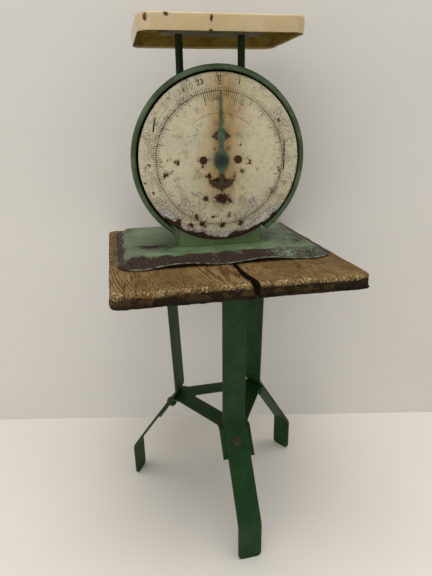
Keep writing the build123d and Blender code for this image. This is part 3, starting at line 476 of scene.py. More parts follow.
def wood_material():
    """Weathered softwood: fine rings, black checks, dirty sides and pale worn arrises."""
    look = Surface("weathered_wood_look")
    ring = wood_grain(look)
    clear = look.noise(28.0, 4, 0.6, stretch=(1, 3, 1), seed=7.6).step(0.3, 0.62)
    fibre = look.noise(0.9, 5, 0.7, stretch=(1, 22, 1), seed=3.1)
    broad = look.noise(34.0, 5, 0.65, stretch=(1, 2, 1), seed=2.2).step(0.36, 0.66)
    stain = look.noise(12.0, 6, 0.72, stretch=(1, 2, 1), seed=6.3).step(0.5, 0.66)
    tone = look.mix(broad, rgb(104, 78, 42), rgb(136, 108, 66))
    tone = look.mix(ring.step(0.75, 0.1) * (clear * 0.5 + 0.2), tone, rgb(62, 40, 16))
    tone = look.mix(ring.step(0.6, 1.0) * (clear * 0.4), tone, rgb(168, 140, 94))
    tone = look.mix(fibre.step(0.5, 0.36) * 0.75, tone, rgb(40, 27, 11))
    tone = look.mix(fibre.step(0.57, 0.68) * 0.5, tone, rgb(176, 148, 94))
    tone = look.mix(stain * 0.6, tone, rgb(54, 34, 14))
    soot = look.mix(look.noise(2.2, 6, 0.75, seed=0.7).step(0.44, 0.62), rgb(13, 9, 4), rgb(46, 33, 14))
    soot = look.mix(ring.step(0.3, 0.9) * 0.3, soot, rgb(56, 42, 20))
    tone = look.mix(look.stored("dirt"), tone, soot)
    tone = look.mix(look.stored("low") * 0.7, tone, rgb(12, 8, 4))
    worn = look.stored("worn")
    flake = look.noise(2.2, 6, 0.78, stretch=(1, 1.6, 1), seed=5.5)
    patchy = look.noise(17.0, 4, 0.6, seed=4.6).step(0.38, 0.6)
    bare = (flake + worn * 0.15).step(0.63, 0.68) * worn.step(0.05, 0.5) * (patchy * 0.55 + 0.2)
    tone = look.mix(bare, tone, rgb(206, 184, 136))
    tone = look.mix(look.stored("check"), tone, rgb(18, 12, 7))
    look.bump(fibre, 0.45, 0.9)
    look.bump(ring, 0.3, 0.7)
    look.bump(look.noise(1.4, 5, 0.75, seed=1.2), 0.35, 0.8)
    return look.done(tone, fibre * 0.3 + 0.62, shine=0.15)


def base_material():
    """Sage paint on the pressed base, with rust, specks and chalky wear read from the mesh, and a pale line
    along the flange rim that is partly worn metal and partly a painted highlight.
    """
    look = Surface("sage_base_look")
    sage = rgb(98, 122, 84)
    grime = look.mix(0.6, sage, rgb(30, 28, 18))
    paint = look.mix(look.noise(34.0, 4, 0.6, seed=1.9).step(0.35, 0.68), sage, rgb(122, 142, 106))
    paint = look.mix(look.noise(12.0, 6, 0.7, seed=3.3).step(0.52, 0.7) * 0.35, paint, grime)
    chalky = look.stored("chalk") + look.noise(5.0, 6, 0.75, seed=4.1)
    paint = look.mix(chalky.step(0.95, 1.25) * 0.8, paint, rgb(142, 134, 134))
    level = look.stored("rust") + look.edges(1.2) * 0.12 + look.noise(3.2, 8, 0.78, seed=7.3)
    base = look.mix(level.step(0.74, 0.96) * 0.45, paint, rgb(70, 66, 44))
    speck = look.noise(1.5, 5, 0.75, seed=6.6) + look.noise(26.0, 4, 0.6, seed=0.9) * 0.4
    speck += look.stored("speck") * 0.16
    base = look.mix(speck.step(0.77, 0.82), base, rgb(46, 38, 28))
    rust = look.mix(look.noise(1.6, 6, 0.75, seed=2.0).step(0.38, 0.62), rgb(26, 19, 14), rgb(66, 46, 36))
    rust = look.mix(look.noise(1.2, 5, 0.7, seed=8.8).step(0.63, 0.7), rust, rgb(150, 134, 116))
    eaten = level.step(0.93, 0.98)
    base = look.mix(eaten, base, rust)
    # Pale grey line along the flange rim: partly worn bare metal, partly a painted highlight on the rolled
    # edge.
    rim_wear_and_highlight = (look.stored("bare") + look.noise(7.0, 5, 0.7, seed=3.0)).step(1.3, 1.45)
    base = look.mix(rim_wear_and_highlight, base, rgb(132, 134, 116))
    look.bump(1.0 - eaten, 0.15, 0.9)
    look.bump(look.noise(1.0, 5, 0.7, seed=5.0), 0.06, 0.5)
    return look.done(base, eaten * 0.42 + 0.34 + look.noise(6.0, 5, 0.6, seed=9.9) * 0.15)


def dial_colours(look):
    """Aged dial enamel: returns its colour and how far rust has broken through."""
    paint = look.mix(look.noise(26.0, 5, 0.65, seed=1.1).step(0.35, 0.7), rgb(210, 200, 168),
                     rgb(196, 190, 164))
    paint = look.mix(look.noise(5.0, 7, 0.75, seed=2.4).step(0.5, 0.66) * 0.5, paint, rgb(150, 142, 110))
    drip = look.noise(9.0, 6, 0.7, stretch=(1, 1, 3), seed=5.9).step(0.1, 0.6)
    paint = look.mix(look.stored("stain") * drip, paint, rgb(158, 124, 58))
    clouding_and_glint = look.stored("chalk") + look.noise(3.0, 7, 0.78, seed=3.7)
    paint = look.mix(clouding_and_glint.step(0.88, 1.1) * 0.8, paint, rgb(168, 162, 162))
    # The near-white is partly chipped enamel and partly a painted highlight along the left rim.
    paint = look.mix(clouding_and_glint.step(1.12, 1.2), paint, rgb(222, 218, 208))
    speck = look.noise(1.1, 4, 0.75, seed=0.6) + look.stored("speck") * 0.145
    paint = look.mix(speck.step(0.65, 0.71), paint, rgb(60, 50, 32))
    level = look.stored("rust") + look.noise(2.8, 8, 0.85, seed=6.6)
    base = look.mix(level.step(0.74, 0.96) * 0.6, paint, rgb(128, 96, 50))
    rust = look.mix(look.noise(1.3, 6, 0.7, seed=8.3).step(0.42, 0.66), rgb(32, 19, 12), rgb(78, 44, 24))
    eaten = level.step(0.93, 0.98)
    return look.mix(eaten, base, rust), eaten


def dial_material():
    """Dial enamel with rust, halos, stains, clouded chips and painted highlights along the left rim."""
    look = Surface("dial_enamel_look")
    base, eaten = dial_colours(look)
    look.bump(look.noise(1.0, 5, 0.7, seed=5.0), 0.05, 0.5)
    look.bump(1.0 - eaten, 0.15, 0.9)
    return look.done(base, eaten * 0.45 + 0.38)


def ink_material():
    """Printed dial markings, worn to a faint trace in places."""
    look = Surface("dial_ink_look")
    base, _ = dial_colours(look)
    fade = look.noise(7.0, 6, 0.75, seed=4.9).step(0.36, 0.6)
    return look.done(look.mix(look.stored("ink") * (fade * 0.4 + 0.6), base, rgb(44, 38, 26)), 0.5)


def pan_material():
    """Cream enamel pan: chipped corners, and a darker yellow-brown inside that is painted shade under the
    pan.
    """
    look = Surface("cream_enamel_look")
    paint = look.mix(look.noise(40.0, 4, 0.6, seed=1.4).step(0.35, 0.7), rgb(206, 186, 146),
                     rgb(196, 174, 132))
    paint = look.mix(look.noise(3.0, 7, 0.75, seed=2.9).step(0.55, 0.7) * 0.25, paint, rgb(166, 142, 100))
    # Darker yellow-brown on the inside faces: painted shade under the pan.
    under_shade = look.mix(look.noise(16.0, 6, 0.7, seed=4.2).step(0.4, 0.65), rgb(150, 128, 56),
                      rgb(118, 96, 36))
    paint = look.mix(look.stored("inside"), paint, under_shade)
    level = look.stored("rust") + look.noise(2.0, 8, 0.78, seed=6.1) + look.edges(1.0) * 0.14
    eaten = level.step(0.9, 0.97)
    base = look.mix(level.step(0.72, 0.95) * 0.45, paint, rgb(160, 124, 72))
    base = look.mix(eaten, base, rust_colour(look, 1.5))
    look.bump(1.0 - eaten, 0.15, 0.9)
    look.bump(look.noise(9.0, 3, 0.5, seed=3.2), 0.2, 0.3)
    return look.done(base, eaten * 0.5 + 0.3, coat=0.15)


def pointer_material():
    """Dull green pointer, rusted on its wings and down its tail."""
    look = Surface("pointer_paint_look")
    across, _, up = look.axes()
    rise = up - HUB[2] * MM
    tail = rise.step(-13 * MM, -19 * MM)
    wing = look.math("ABSOLUTE", across).step(2.5 * MM, 6 * MM) * rise.step(16 * MM, 20 * MM)
    tone = look.mix(look.noise(7.0, 5, 0.65, seed=1.3).step(0.35, 0.65), rgb(56, 74, 58), rgb(88, 102, 82))
    boss = look.math("SQRT", across * across + rise * rise).step(10 * MM, 6.5 * MM)
    tone = look.mix(boss * 0.7, tone, rgb(32, 42, 32))
    level = look.noise(2.2, 7, 0.78, seed=2.7) + look.math("MAXIMUM", tail, wing) * 0.34
    tone = look.mix(level.step(0.56, 0.72) * 0.6, tone, rgb(70, 58, 34))
    flaky = look.mix(look.noise(1.6, 6, 0.75, seed=9.1).step(0.4, 0.62), rgb(40, 32, 20), rgb(84, 70, 42))
    rusted = level.step(0.7, 0.75)
    look.bump(1.0 - rusted, 0.12, 0.8)
    look.bump(look.noise(1.0, 5, 0.7, seed=5.0), 0.08, 0.6)
    return look.done(look.mix(rusted, tone, flaky), 0.6, shine=0.2)


POINTER_GREEN = pointer_material()
STAND_GREEN = old_paint("stand_paint_look", rgb(17, 52, 18), rgb(27, 66, 28), chips=0.68, edge=1.0,
                        gloss=0.36, size=6.0, shine=0.2)
BOLT_GREEN = old_paint("bolt_paint_look", rgb(17, 52, 18), rgb(70, 76, 44), chips=0.54, edge=0.4, size=3.0)
OLIVE = old_paint("olive_paint_look", rgb(92, 88, 60), rgb(110, 106, 78), gloss=0.6)
ROD_GREEN = old_paint("rod_paint_look", rgb(28, 40, 20), rgb(38, 52, 30), chips=0.7, gloss=0.45,
                      shine=0.12)
SAGE = old_paint("sage_paint_look", rgb(88, 108, 66), rgb(98, 118, 78), chips=0.68, gloss=0.42)
DRUM_GREEN = old_paint("drum_paint_look", rgb(60, 78, 50), rgb(92, 108, 80), chips=0.64, edge=1.0,
                       gloss=0.4)
# Heavy chipping on the neck's edges is partly wear and partly painted shade: the dark outline stands in for
# the contact shadow where the neck meets the base.
NECK_PAINT_AND_EDGE_SHADE = old_paint("neck_paint_and_edge_shade_look", rgb(84, 104, 64), rgb(94, 114, 74), chips=0.66, edge=1.3,
                       gloss=0.42)
BOSS_GREEN = old_paint("boss_paint_look", rgb(34, 44, 34), rgb(44, 58, 44), chips=0.74, gloss=0.55,
                       size=3.0)
STEEL = bare_metal("steel_look", rgb(150, 148, 142), rgb(96, 78, 60))
BRASS = bare_metal("brass_look", rgb(176, 142, 78), rgb(104, 84, 52))
RUSTY = rusty("rusty_steel_look")


# ---------------- wood top

WOOD_LOW, WOOD_HIGH = box_mm("wood_top")
WOOD_DEEP = WOOD_HIGH[2] - WOOD_LOW[2]
BOARD_CORNER = 13.0
# PITH is where the growth rings centre: across the board, and up from its top face.
PITH = (-30.0, -50.0)
RING_PITCH = 2.7
SPLIT_REACH = 150.0


def make_board():
    """The board: rounded and eaten edges, weathered faces, checks and one open split."""
    points, quads = box_skin(WOOD_LOW, WOOD_HIGH, (290, 170, 20))
    core = np.clip(points[:, :2], WOOD_LOW[:2] + BOARD_CORNER, WOOD_HIGH[:2] - BOARD_CORNER)
    out = points[:, :2] - core
    square = np.abs(out).max(axis=1)
    length = np.linalg.norm(out, axis=1)
    direction = out / np.maximum(length, 1e-9)[:, None]
    points[:, :2] = core + direction * square[:, None]
    inset = BOARD_CORNER - square
    plan = points * PLAN
    corner = smooth(points[:, 0], -40, -140) * smooth(points[:, 1], WOOD_LOW[1] + 60, WOOD_LOW[1])
    worn_top = 6.0 + 5.0 * fractal(plan, 24, 11, 3) + 1.5 * corner
    worn_low = 1.0 + 6.5 * fractal(plan, 10, 19, 3)
    level = np.clip(points[:, 2], WOOD_LOW[2] + worn_low, WOOD_HIGH[2] - worn_top)
    rise = points[:, 2] - level
    over = np.maximum(np.where(rise > 0, worn_top, worn_low) - inset, 0)
    scale = np.maximum(over, np.abs(rise)) / np.maximum(np.hypot(over, rise), 1e-9)
    rounded = (over > 0) & (np.abs(rise) > 0)
    shift = np.where(rounded, over * (scale - 1), 0)
    points[:, :2] += direction * shift[:, None]
    points[:, 2] = np.where(rounded, level + rise * scale, points[:, 2])
    board = build("board", points, quads)
    cut(board, split_cutter())
    shape_board(board)
    finish_piece(board, "stand", "weathered_wood", wood_material(), "wood_top")


def split_line(along, share):
    """Centre and width of the split at a distance behind the front edge and a share of the height."""
    spot = np.stack([np.zeros(len(along)), along, share * WOOD_DEEP], 1)
    centre = 4.4 + 4.5 * smooth(along, 45, 0) + 4.0 * (1 - share) * smooth(along, 40, 0)
    centre += 2.4 * (fractal(spot, (1, 22, 40), 21, 3) - 0.5)
    spread = smooth(along, SPLIT_REACH, -10) * (0.8 + 0.4 * fractal(spot, (1, 9, 9), 22, 3))
    return centre, 0.25 + (3.4 + 6.4 * share) * spread


def split_cutter():
    """Wandering wedge, widest at the front edge."""
    margin = 2.0
    points, quads = box_skin(np.zeros(3), np.ones(3), (2, 80, 14))
    along = points[:, 1] * SPLIT_REACH - margin
    centre, width = split_line(along, points[:, 2])
    level = WOOD_LOW[2] - margin + points[:, 2] * (WOOD_DEEP + 2 * margin)
    points = np.stack([centre + (points[:, 0] - 0.5) * width, WOOD_LOW[1] + along, level], 1)
    return build("split", points, quads)


def shape_board(board):
    """Erodes the faces and stores what the wood material reads."""
    points = corners(board)
    facing = read_vertices(board, "normal")
    up = facing[:, 2]
    top = smooth(up, 0.4, 0.9)
    side = 1 - smooth(np.abs(up), 0.3, 0.8)
    line = fractal(points, (5, 260, 30), 12, 3)
    patch = fractal(points, (40, 60, 40), 13, 2)
    check = smooth(np.abs(line - 0.5), 0.012, 0.002) * smooth(patch, 0.42, 0.6)
    rough = fractal(points, (4, 4, 3), 14, 3)
    hollow = fractal(points, (60, 120, 60), 15, 3)
    lump = fractal(points, (12, 12, 10), 16, 3)
    ridge = fractal(points, (3.0, 60, 3.0), 18, 2)
    share = (points[:, 2] - WOOD_LOW[2]) / WOOD_DEEP
    back = points[:, 1] - WOOD_LOW[1]
    centre, width = split_line(back, share)
    from_split = np.abs(points[:, 0] - centre) - width / 2
    near_split = back < SPLIT_REACH
    wall = near_split & (from_split < 0.6) & (np.abs(facing[:, 0]) > 0.5)
    lip = smooth(from_split, 5, 0) * near_split * top
    depth = 0.7 * ridge * top + 0.9 * check + 0.9 * hollow + (3.0 * lump + 1.5 * rough) * side + 1.4 * lip
    depth *= np.where(up < -0.9, 0.3, 1.0)
    depth = np.where(wall, 0.0, depth)
    move_corners(board, points - facing * depth[:, None])
    arris = smooth(up, 0.05, 0.45) * smooth(up, 1.0, 0.93)
    near_front = smooth(back, 26, 8)
    left = smooth(points[:, 0], WOOD_LOW[0] + 14, WOOD_LOW[0] + 3)
    dirt = smooth(up, 0.7, 0.2) * (0.7 + 0.4 * smooth(lump, 0.6, 0.4))
    mark(board, "low", smooth(share, 0.4, 0.08))
    mark(board, "check", check)
    mark(board, "dirt", np.maximum(dirt, wall))
    grazed = (0.5 * smooth(back, 40, 10) + 0.4 * left) * top
    mark(board, "worn", np.maximum(arris * (0.3 + 0.5 * near_front), 0.6 * lip) + grazed * (1 - arris))


# ---------------- pressed base

BASE_LOW, BASE_HIGH = box_mm("base_shell")
NECK_LOW, NECK_HIGH = box_mm("neck")
BASE_CORNER = 22.0
FLANGE_HEIGHT = 1.6
HOLD_DOWN_HOLE = 2.65


def make_base():
    """Thin pressed base: bent free flange, soft crowned top, creased and rusted along the front."""
    half = (BASE_HIGH - BASE_LOW)[:2] / 2
    centre = (BASE_HIGH + BASE_LOW) / 2
    rise = BASE_HIGH[2] - BASE_LOW[2]
    section = [(inset, rise) for inset in np.linspace(half[1] - 3, 21, 32)]
    section += [(18.5, rise - 0.25), (16.0, rise - 1.2), (14.0, rise - 2.9), (12.0, rise - 5.1),
                (10.0, rise - 7.3), (8.4, rise - 8.9), (6.8, 2.0), (5.0, FLANGE_HEIGHT + 0.1),
                (3.2, FLANGE_HEIGHT)]
    section += [(max(inset, 0.0), height) for inset, height in arc((1.0, 1.0), 1.0, 90, 270, 8)]
    section += [(3.2, 0.0), (5.6, 0.3), (8.0, 1.6), (9.6, 3.2), (11.4, 5.2), (13.4, rise - 4.2),
                (15.4, rise - 2.4), (18.2, rise - 1.35)]
    section += [(inset, rise - 1.1) for inset in np.linspace(21, half[1] - 3, 12)]
    points, quads, inset = pressed_shell(half, BASE_CORNER, section, centre)
    points[:, 2] += BASE_LOW[2]
    x, y = points[:, 0], points[:, 1]
    front = smooth(y, BASE_LOW[1] + 20, BASE_LOW[1] + 1)
    free = smooth(inset, 9, 1)
    wave = 2.0 * (1 - np.cos(2 * np.pi * (x + 7) / 104)) * front * free * smooth(np.abs(x), 132, 100)
    bulge = 3.5 * np.exp(-((np.abs(x) - 108) / 16) ** 2) * front * free
    side = smooth(np.abs(x), 112, 132) * free * (1 - front)
    wave += side * 1.8 * fractal(points * PLAN, 60, 41, 2)
    crease_y = ROD_PLANE - 82 + 0.1 * (x + 60)
    crease = np.exp(-((y - crease_y) / 2.2) ** 2) * smooth(x, -120, -90) * smooth(x, 20, -20)
    neck_centre = (NECK_LOW + NECK_HIGH)[:2] / 2
    neck_half = (NECK_HIGH - NECK_LOW)[:2] / 2
    under_neck = (np.abs(points[:, :2] - neck_centre) < neck_half + 3).all(axis=1)
    sag = 1.6 * fractal(points * PLAN, 55, 42, 3) * smooth(inset, 6, 18) + 0.8 * crease
    points[:, 2] += wave - np.where(under_neck, 0, sag)
    points[:, 1] -= bulge
    base = build("base_pressing", points, quads)
    fix_normals(base)
    drill(base, bolt_spots("hold_down_bolts"), HOLD_DOWN_HOLE, 2, BASE_HIGH[2] - 6, BASE_HIGH[2] + 6)
    points = corners(base)
    x, y = points[:, 0], points[:, 1]
    edge_x = np.minimum(x - BASE_LOW[0], BASE_HIGH[0] - x)
    edge_y = np.minimum(y - BASE_LOW[1], BASE_HIGH[1] - y)
    ragged = fractal(points * PLAN, 15, 43, 4)
    reach = 12 + 16 * ragged
    band = smooth(y - BASE_LOW[1], reach + 7, reach - 3)
    front_band = band * (0.33 + 0.18 * smooth(x + 40 * ragged, 92, 62) + 0.1 * smooth(ragged, 0.45, 0.6))
    left_band = smooth(x - BASE_LOW[0], 8 + 22 * ragged, 4 + 10 * ragged) * 0.48
    right_band = smooth(BASE_HIGH[0] - x, 4 + 12 * ragged, 2 + 8 * ragged) * 0.44
    back = y - ROD_PLANE
    patch = 0.3 * blob(x, back, (-92, -30), (34, 52)) + 0.24 * blob(x, back, (60, -77), (70, 22))
    patch += 0.26 * blob(x, back, (104, -30), (34, 60)) + 0.26 * smooth(ragged, 0.5, 0.7)
    rust = np.maximum.reduce([front_band, left_band, right_band, patch])
    speck = blob(x, back, (-86, -34), (44, 44)) + 0.8 * band + 0.5 * blob(x, back, (96, -44), (60, 60))
    speck += 0.8 * smooth(edge_x, 40, 10)
    mark(base, "rust", rust)
    mark(base, "speck", speck * (0.5 + ragged))
    mark(base, "chalk", 0.62 * blob(x, back, (100, 6), (50, 62)) + 0.2 * blob(x, back, (10, -87), (90, 30)))
    # This mark is partly worn metal at the rim and partly a painted highlight along the flange's rolled
    # edge.
    mark(base, "bare", 0.9 * smooth(np.minimum(edge_x, edge_y), 1.1, 0.3))
    finish_piece(base, "stand", "sage_paint", base_material(), "base_shell")


def bolt_spots(node):
    """Plan positions of a node's four-corner pattern, read from its vertices."""
    points = corners(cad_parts[node])[:, :2]
    centre = (points.max(axis=0) + points.min(axis=0)) / 2
    spots = []
    for side in itertools.product((-1, 1), repeat=2):
        pick = points[((points - centre) * side > 0).all(axis=1)]
        spots.append((pick.max(axis=0) + pick.min(axis=0)) / 2)
    return spots


# ---------------- dial

DIAL_SCREW_OFFSET = 22.0
DIAL_SCREW_HOLE = 2.15
SCALE_RADIUS = 80.0
NUMERAL_RADIUS = 92.3
POUNDS = 24
PARTS = 8

# Places on the dial face are (across, up) from the hub.
# Rusted spots: place, size and depth of the rust.
RUST_SPOTS = [
    (-23, -1, 6, .66), (-22, -8, 4, .6), (19, 1, 6, .55), (-55, -2, 7, .6), (-69, -16, 9, .56),
    (-62, -13, 5, .5), (36, -4.5, 6, .58), (25, 17, 4, .5), (48, -13.5, 4, .5), (-15, -20, 7, .62),
    (-26, 18, 4, .44), (-7, 15, 7, .46), (9, 15, 7, .46), (28, -14, 9, .5), (18, -18, 8, .46),
    (-20, -46, 9, .6), (11, -50, 8, .56), (-26, -95, 9, .7), (19, -97, 9, .64), (-88, -4, 4, .5),
    (-93, -7, 4, .5), (-94, -25, 4, .5), (-85, -37, 4, .56), (-86, 6, 3, .44), (74, 45, 5, .54),
    (68, -41, 5, .44), (75, -14, 6, .5), (-85, -13, 4, .44), (-55, -72, 7, .5), (-32, -69, 6, .54),
    (-10, -70, 5, .52), (10, -69, 5, .5), (-39, -81, 6, .54), (1, -82, 7, .56), (-25, -79, 8, .52),
    (26, -80, 7, .46), (-45, 72, 6, .42), (-42, 82, 5, .42), (47, 68, 5, .36), (84, 22, 5, .44),
    (84, -30, 6, .44), (-78, 56, 5, .42)]
# Pale patches at the left rim, partly chipped enamel and partly painted highlights of the rounded rim:
# place, width and height.
RIM_GLINTS_AND_CHIPS = [(-87, 54, 6, 20), (-94, 41, 5, 16), (-90, -54, 6, 14), (-72, -74, 9, 8), (-93, -40, 5, 12)]


def dial_wear(points):
    """Wear of the dial face, under the names its material reads."""
    u = points[:, 0]
    v = points[:, 2] - HUB[2]
    radius = np.hypot(u, v)
    turn = np.abs(np.degrees(np.arctan2(u, v)))
    uneven = fractal(points, 14, 51, 3)
    rust = 0.5 * blob(u, v, (-1, -27), (26, 14)) + 0.46 * blob(u, v, (1, -49), (26, 15))
    rust *= 0.78 + 0.5 * fractal(points, 4, 58, 3)
    rust += 0.3 * blob(u, v, (0, 26), (16, 9)) + 0.22 * blob(u, v, (0, -36), (34, 32))
    bent_u = u + 7 * (fractal(points, 5, 54, 3) - 0.5)
    bent_v = v + 7 * (fractal(points, 5, 57, 3) - 0.5)
    for place_u, place_v, size, depth in RUST_SPOTS:
        away = np.hypot(bent_u - place_u, bent_v - place_v)
        rust = np.maximum(rust, 0.98 * depth * smooth(away, 1.35 * size, 0))
    right_streak = np.exp(-((u - 82) / 1.6) ** 2) * smooth(v, -22, -12) * smooth(v, 30, 20)
    left_streak = np.exp(-((u + 80 - 0.2 * (v - 43)) / 1.8) ** 2) * smooth(v, 30, 36) * smooth(v, 56, 48)
    rust = np.maximum(rust, 0.56 * np.maximum(right_streak, left_streak))
    low_rim = smooth(radius, 92, 99) * smooth(turn, 126, 145)
    rust += low_rim * (0.3 + 0.5 * smooth(uneven, 0.42, 0.6))
    rust += 0.14 * smooth(radius, 95, 100) + 0.1 * smooth(turn, 100, 150) * smooth(radius, 60, 85)
    stain = 0.95 * blob(u, v, (6, 66), (42, 70)) + 0.9 * blob(u, v, (2, -10), (46, 80))
    chalk = 0.62 * smooth(radius, 82, 94) * smooth(turn, 108, 135) + 0.5 * blob(u, v, (42, -54), (34, 40))
    # The pale strip down the left rim and the pale patches below are partly painted highlights of the
    # rounded rim.
    chalk += 0.5 * blob(u, v, (-51, -50), (32, 26)) + 0.4 * blob(u, v, (-86, 6), (16, 90))
    for place_u, place_v, width, height in RIM_GLINTS_AND_CHIPS:
        chalk += 0.5 * blob(u, v, (place_u, place_v), (width, height))
    speck = 0.2 + 0.5 * smooth(radius, 60, 90) + 0.4 * smooth(v, -10, -60)
    speck += 0.4 * blob(u, v, (0, 0), (50, 70))
    speck += 0.7 * smooth(uneven, 0.5, 0.7) - 0.3 * smooth(uneven, 0.5, 0.35)
    return {"rust": np.clip(rust, 0, 0.8), "stain": stain, "chalk": np.clip(chalk, 0, 0.85), "speck": speck}


def make_dial():
    """Dished dial with a rounded rim; rusted places are pitted."""
    front, back = DIAL_LOW[1], DIAL_HIGH[1]
    sheet = 0.8
    edge = 3.0
    hole = 5.0
    section = [(radius, front) for radius in np.linspace(hole, DIAL_RADIUS - edge, 104)]
    section += arc((DIAL_RADIUS - edge, front + edge), edge, -90, 0, 7)[1:]
    section += [(DIAL_RADIUS, back), (DIAL_RADIUS - sheet, back)]
    section += arc((DIAL_RADIUS - edge, front + edge), edge - sheet, 0, -90, 4)
    section += [(radius, front + sheet) for radius in np.linspace(DIAL_RADIUS - edge, hole, 12)[1:]]
    points, quads = lathe(section, 480)
    dial = build("dial_face", points, quads)
    fix_normals(dial)
    screws = [(side * DIAL_SCREW_OFFSET, HUB[2]) for side in (-1, 1)]
    drill(dial, screws, DIAL_SCREW_HOLE, 1, front - 4, back + 4)
    points = corners(dial)
    facing = read_vertices(dial, "normal")
    wear = dial_wear(points)
    pitted = smooth(wear["rust"] + fractal(points, 2.2, 52, 3), 0.9, 1.05) * 0.25
    ripple = 0.18 * fractal(points, 30, 53, 2)
    on_face = (facing[:, 1] < -0.3) & (points[:, 1] < front + edge)
    move_corners(dial, points - facing * np.where(on_face, pitted + ripple, 0)[:, None])
    for name, amount in wear.items():
        mark(dial, name, amount)
    finish_piece(dial, "stand", "dial_enamel", dial_material(), "dial_plate")


# Arcs left of worn rings: radius, line width, first and last angle, and how much ink is left.
FAINT_ARCS = [(55.0, 0.5, -38, 42, 0.75), (53.0, 0.5, 195, 226, 0.6), (53.0, 0.5, 140, 160, 0.35),
              (88.5, 0.4, -62, -44, 0.6)]
ZERO_RING = 5.15


class Marks:
    """Collects the thin raised shapes printed on the dial."""

    def __init__(self):
        self.points = []
        self.faces = []
        self.ink = []
        self.front = DIAL_LOW[1] - 0.05
        self.back = DIAL_LOW[1] + 0.25

    def prism(self, outline, ink):
        """Flat shape from (u, v) points about the hub, clockwise or not."""
        first = len(self.points)
        count = len(outline)
        for depth in (self.front, self.back):
            self.points += [(u, depth, HUB[2] + v) for u, v in outline]
        self.ink += [ink] * (2 * count)
        self.faces.append(tuple(range(first, first + count)))
        self.faces.append(tuple(range(first + count, first + 2 * count))[::-1])
        for step in range(count):
            after = (step + 1) % count
            self.faces.append((first + step, first + count + step, first + count + after, first + after))

    def tick(self, angle, inner, outer, width, ink):
        """Radial line; the angle is clockwise from the top, in degrees."""
        turn = math.radians(angle)
        along = np.array([math.sin(turn), math.cos(turn)])
        side = np.array([math.cos(turn), -math.sin(turn)]) * width / 2
        near = along * inner
        far = along * outer
        self.prism([near - side, near + side, far + side, far - side], ink)

    def circle(self, radius, width, start, finish, ink, height=0.0, pitch=2):
        """Line along a circle between two angles; height moves its centre up from the hub."""
        steps = max(abs(finish - start) // pitch, 2)
        angles = np.radians(np.linspace(start, finish, steps + 1))
        for low, high in zip(angles[:-1], angles[1:]):
            quad = []
            for turn, side in ((low, -1), (low, 1), (high, 1), (high, -1)):
                reach = radius + side * width / 2
                quad.append((reach * math.sin(turn), height + reach * math.cos(turn)))
            self.prism(quad, ink)


def ink_left(angle, radius):
    """How much of the print is left at a place on the dial."""
    spot = np.array([[radius * math.sin(math.radians(angle)), 0.0, radius * math.cos(math.radians(angle))]])
    return float(smooth(fractal(spot, 24, 61, 3), 0.3, 0.62)[0])


def make_marks():
    """Graduations, circle lines and numerals."""
    marks = Marks()
    for part in range(POUNDS * PARTS):
        angle = part * 360 / (POUNDS * PARTS)
        ink = 0.5 + 0.5 * ink_left(angle, SCALE_RADIUS)
        length = {0: 7.5, 4: 5.0}.get(part % PARTS, 3.4)
        if min(angle, 360 - angle) < 24:
            length += 7 * ink_left(7 * angle, 70)
        marks.tick(angle, SCALE_RADIUS + 0.4, SCALE_RADIUS + 4.2, 0.6, ink)
        outer = SCALE_RADIUS - 0.4
        marks.tick(angle, outer - length, outer, 0.6 if part % PARTS else 0.9, ink)
    for start in range(0, 360, 6):
        low_half = 0.25 if 100 < start < 260 else 0.0
        ink = 0.6 + low_half + 0.4 * ink_left(start, SCALE_RADIUS)
        marks.circle(SCALE_RADIUS, 0.9, start, start + 6, ink)
    for radius, width, start, finish, ink in FAINT_ARCS:
        marks.circle(radius, width, start, finish, ink)
    marks.circle(ZERO_RING, 0.5, 0, 360, 0.8, height=NUMERAL_RADIUS, pitch=15)
    piece = build("dial_marks", marks.points, marks.faces)
    fix_normals(piece)
    mark(piece, "ink", np.array(marks.ink))
    parts = [piece] + [numeral(pound) for pound in range(POUNDS)]
    with bpy.context.temp_override(active_object=piece, selected_editable_objects=parts, object=piece):
        bpy.ops.object.join()
    for name, amount in dial_wear(corners(piece)).items():
        mark(piece, name, amount)
    finish_piece(piece, "stand", "dial_enamel", ink_material())


def numeral(pound):
    """One numeral as a thin mesh, standing square to its radius."""
    curve = bpy.data.curves.new("numeral", "FONT")
    curve.body = str(pound)
    curve.size = 9.0
    curve.align_x = "CENTER"
    curve.align_y = "CENTER"
    curve.extrude = 0.15
    curve.resolution_u = 3
    curve.offset = 0.22 if pound in (0, 1, 23) else 0.0
    text = add_object("numeral", curve)
    bpy.context.view_layer.update()
    mesh = bpy.data.meshes.new_from_object(text)
    bpy.data.objects.remove(text)
    piece = add_object("numeral", mesh)
    flat = corners(piece) * MM
    turn = math.radians(pound * 360 / POUNDS)
    along = NUMERAL_RADIUS + flat[:, 1]
    u = flat[:, 0] * math.cos(turn) + along * math.sin(turn)
    v = -flat[:, 0] * math.sin(turn) + along * math.cos(turn)
    move_corners(piece, np.stack([u, DIAL_LOW[1] + 0.1 - flat[:, 2], HUB[2] + v], 1))
    fix_normals(piece)
    sharp = {0: 1.0, 1: 0.9, 23: 1.0, 22: 0.6}.get(pound, 0.12 + 0.3 * ink_left(pound * 15, 92))
    mark(piece, "ink", np.full(len(mesh.vertices), sharp))
    return piece


# ---------------- platform pan

PAN_LOW, PAN_HIGH = box_mm("platform")
PAN_CORNER = 17.0


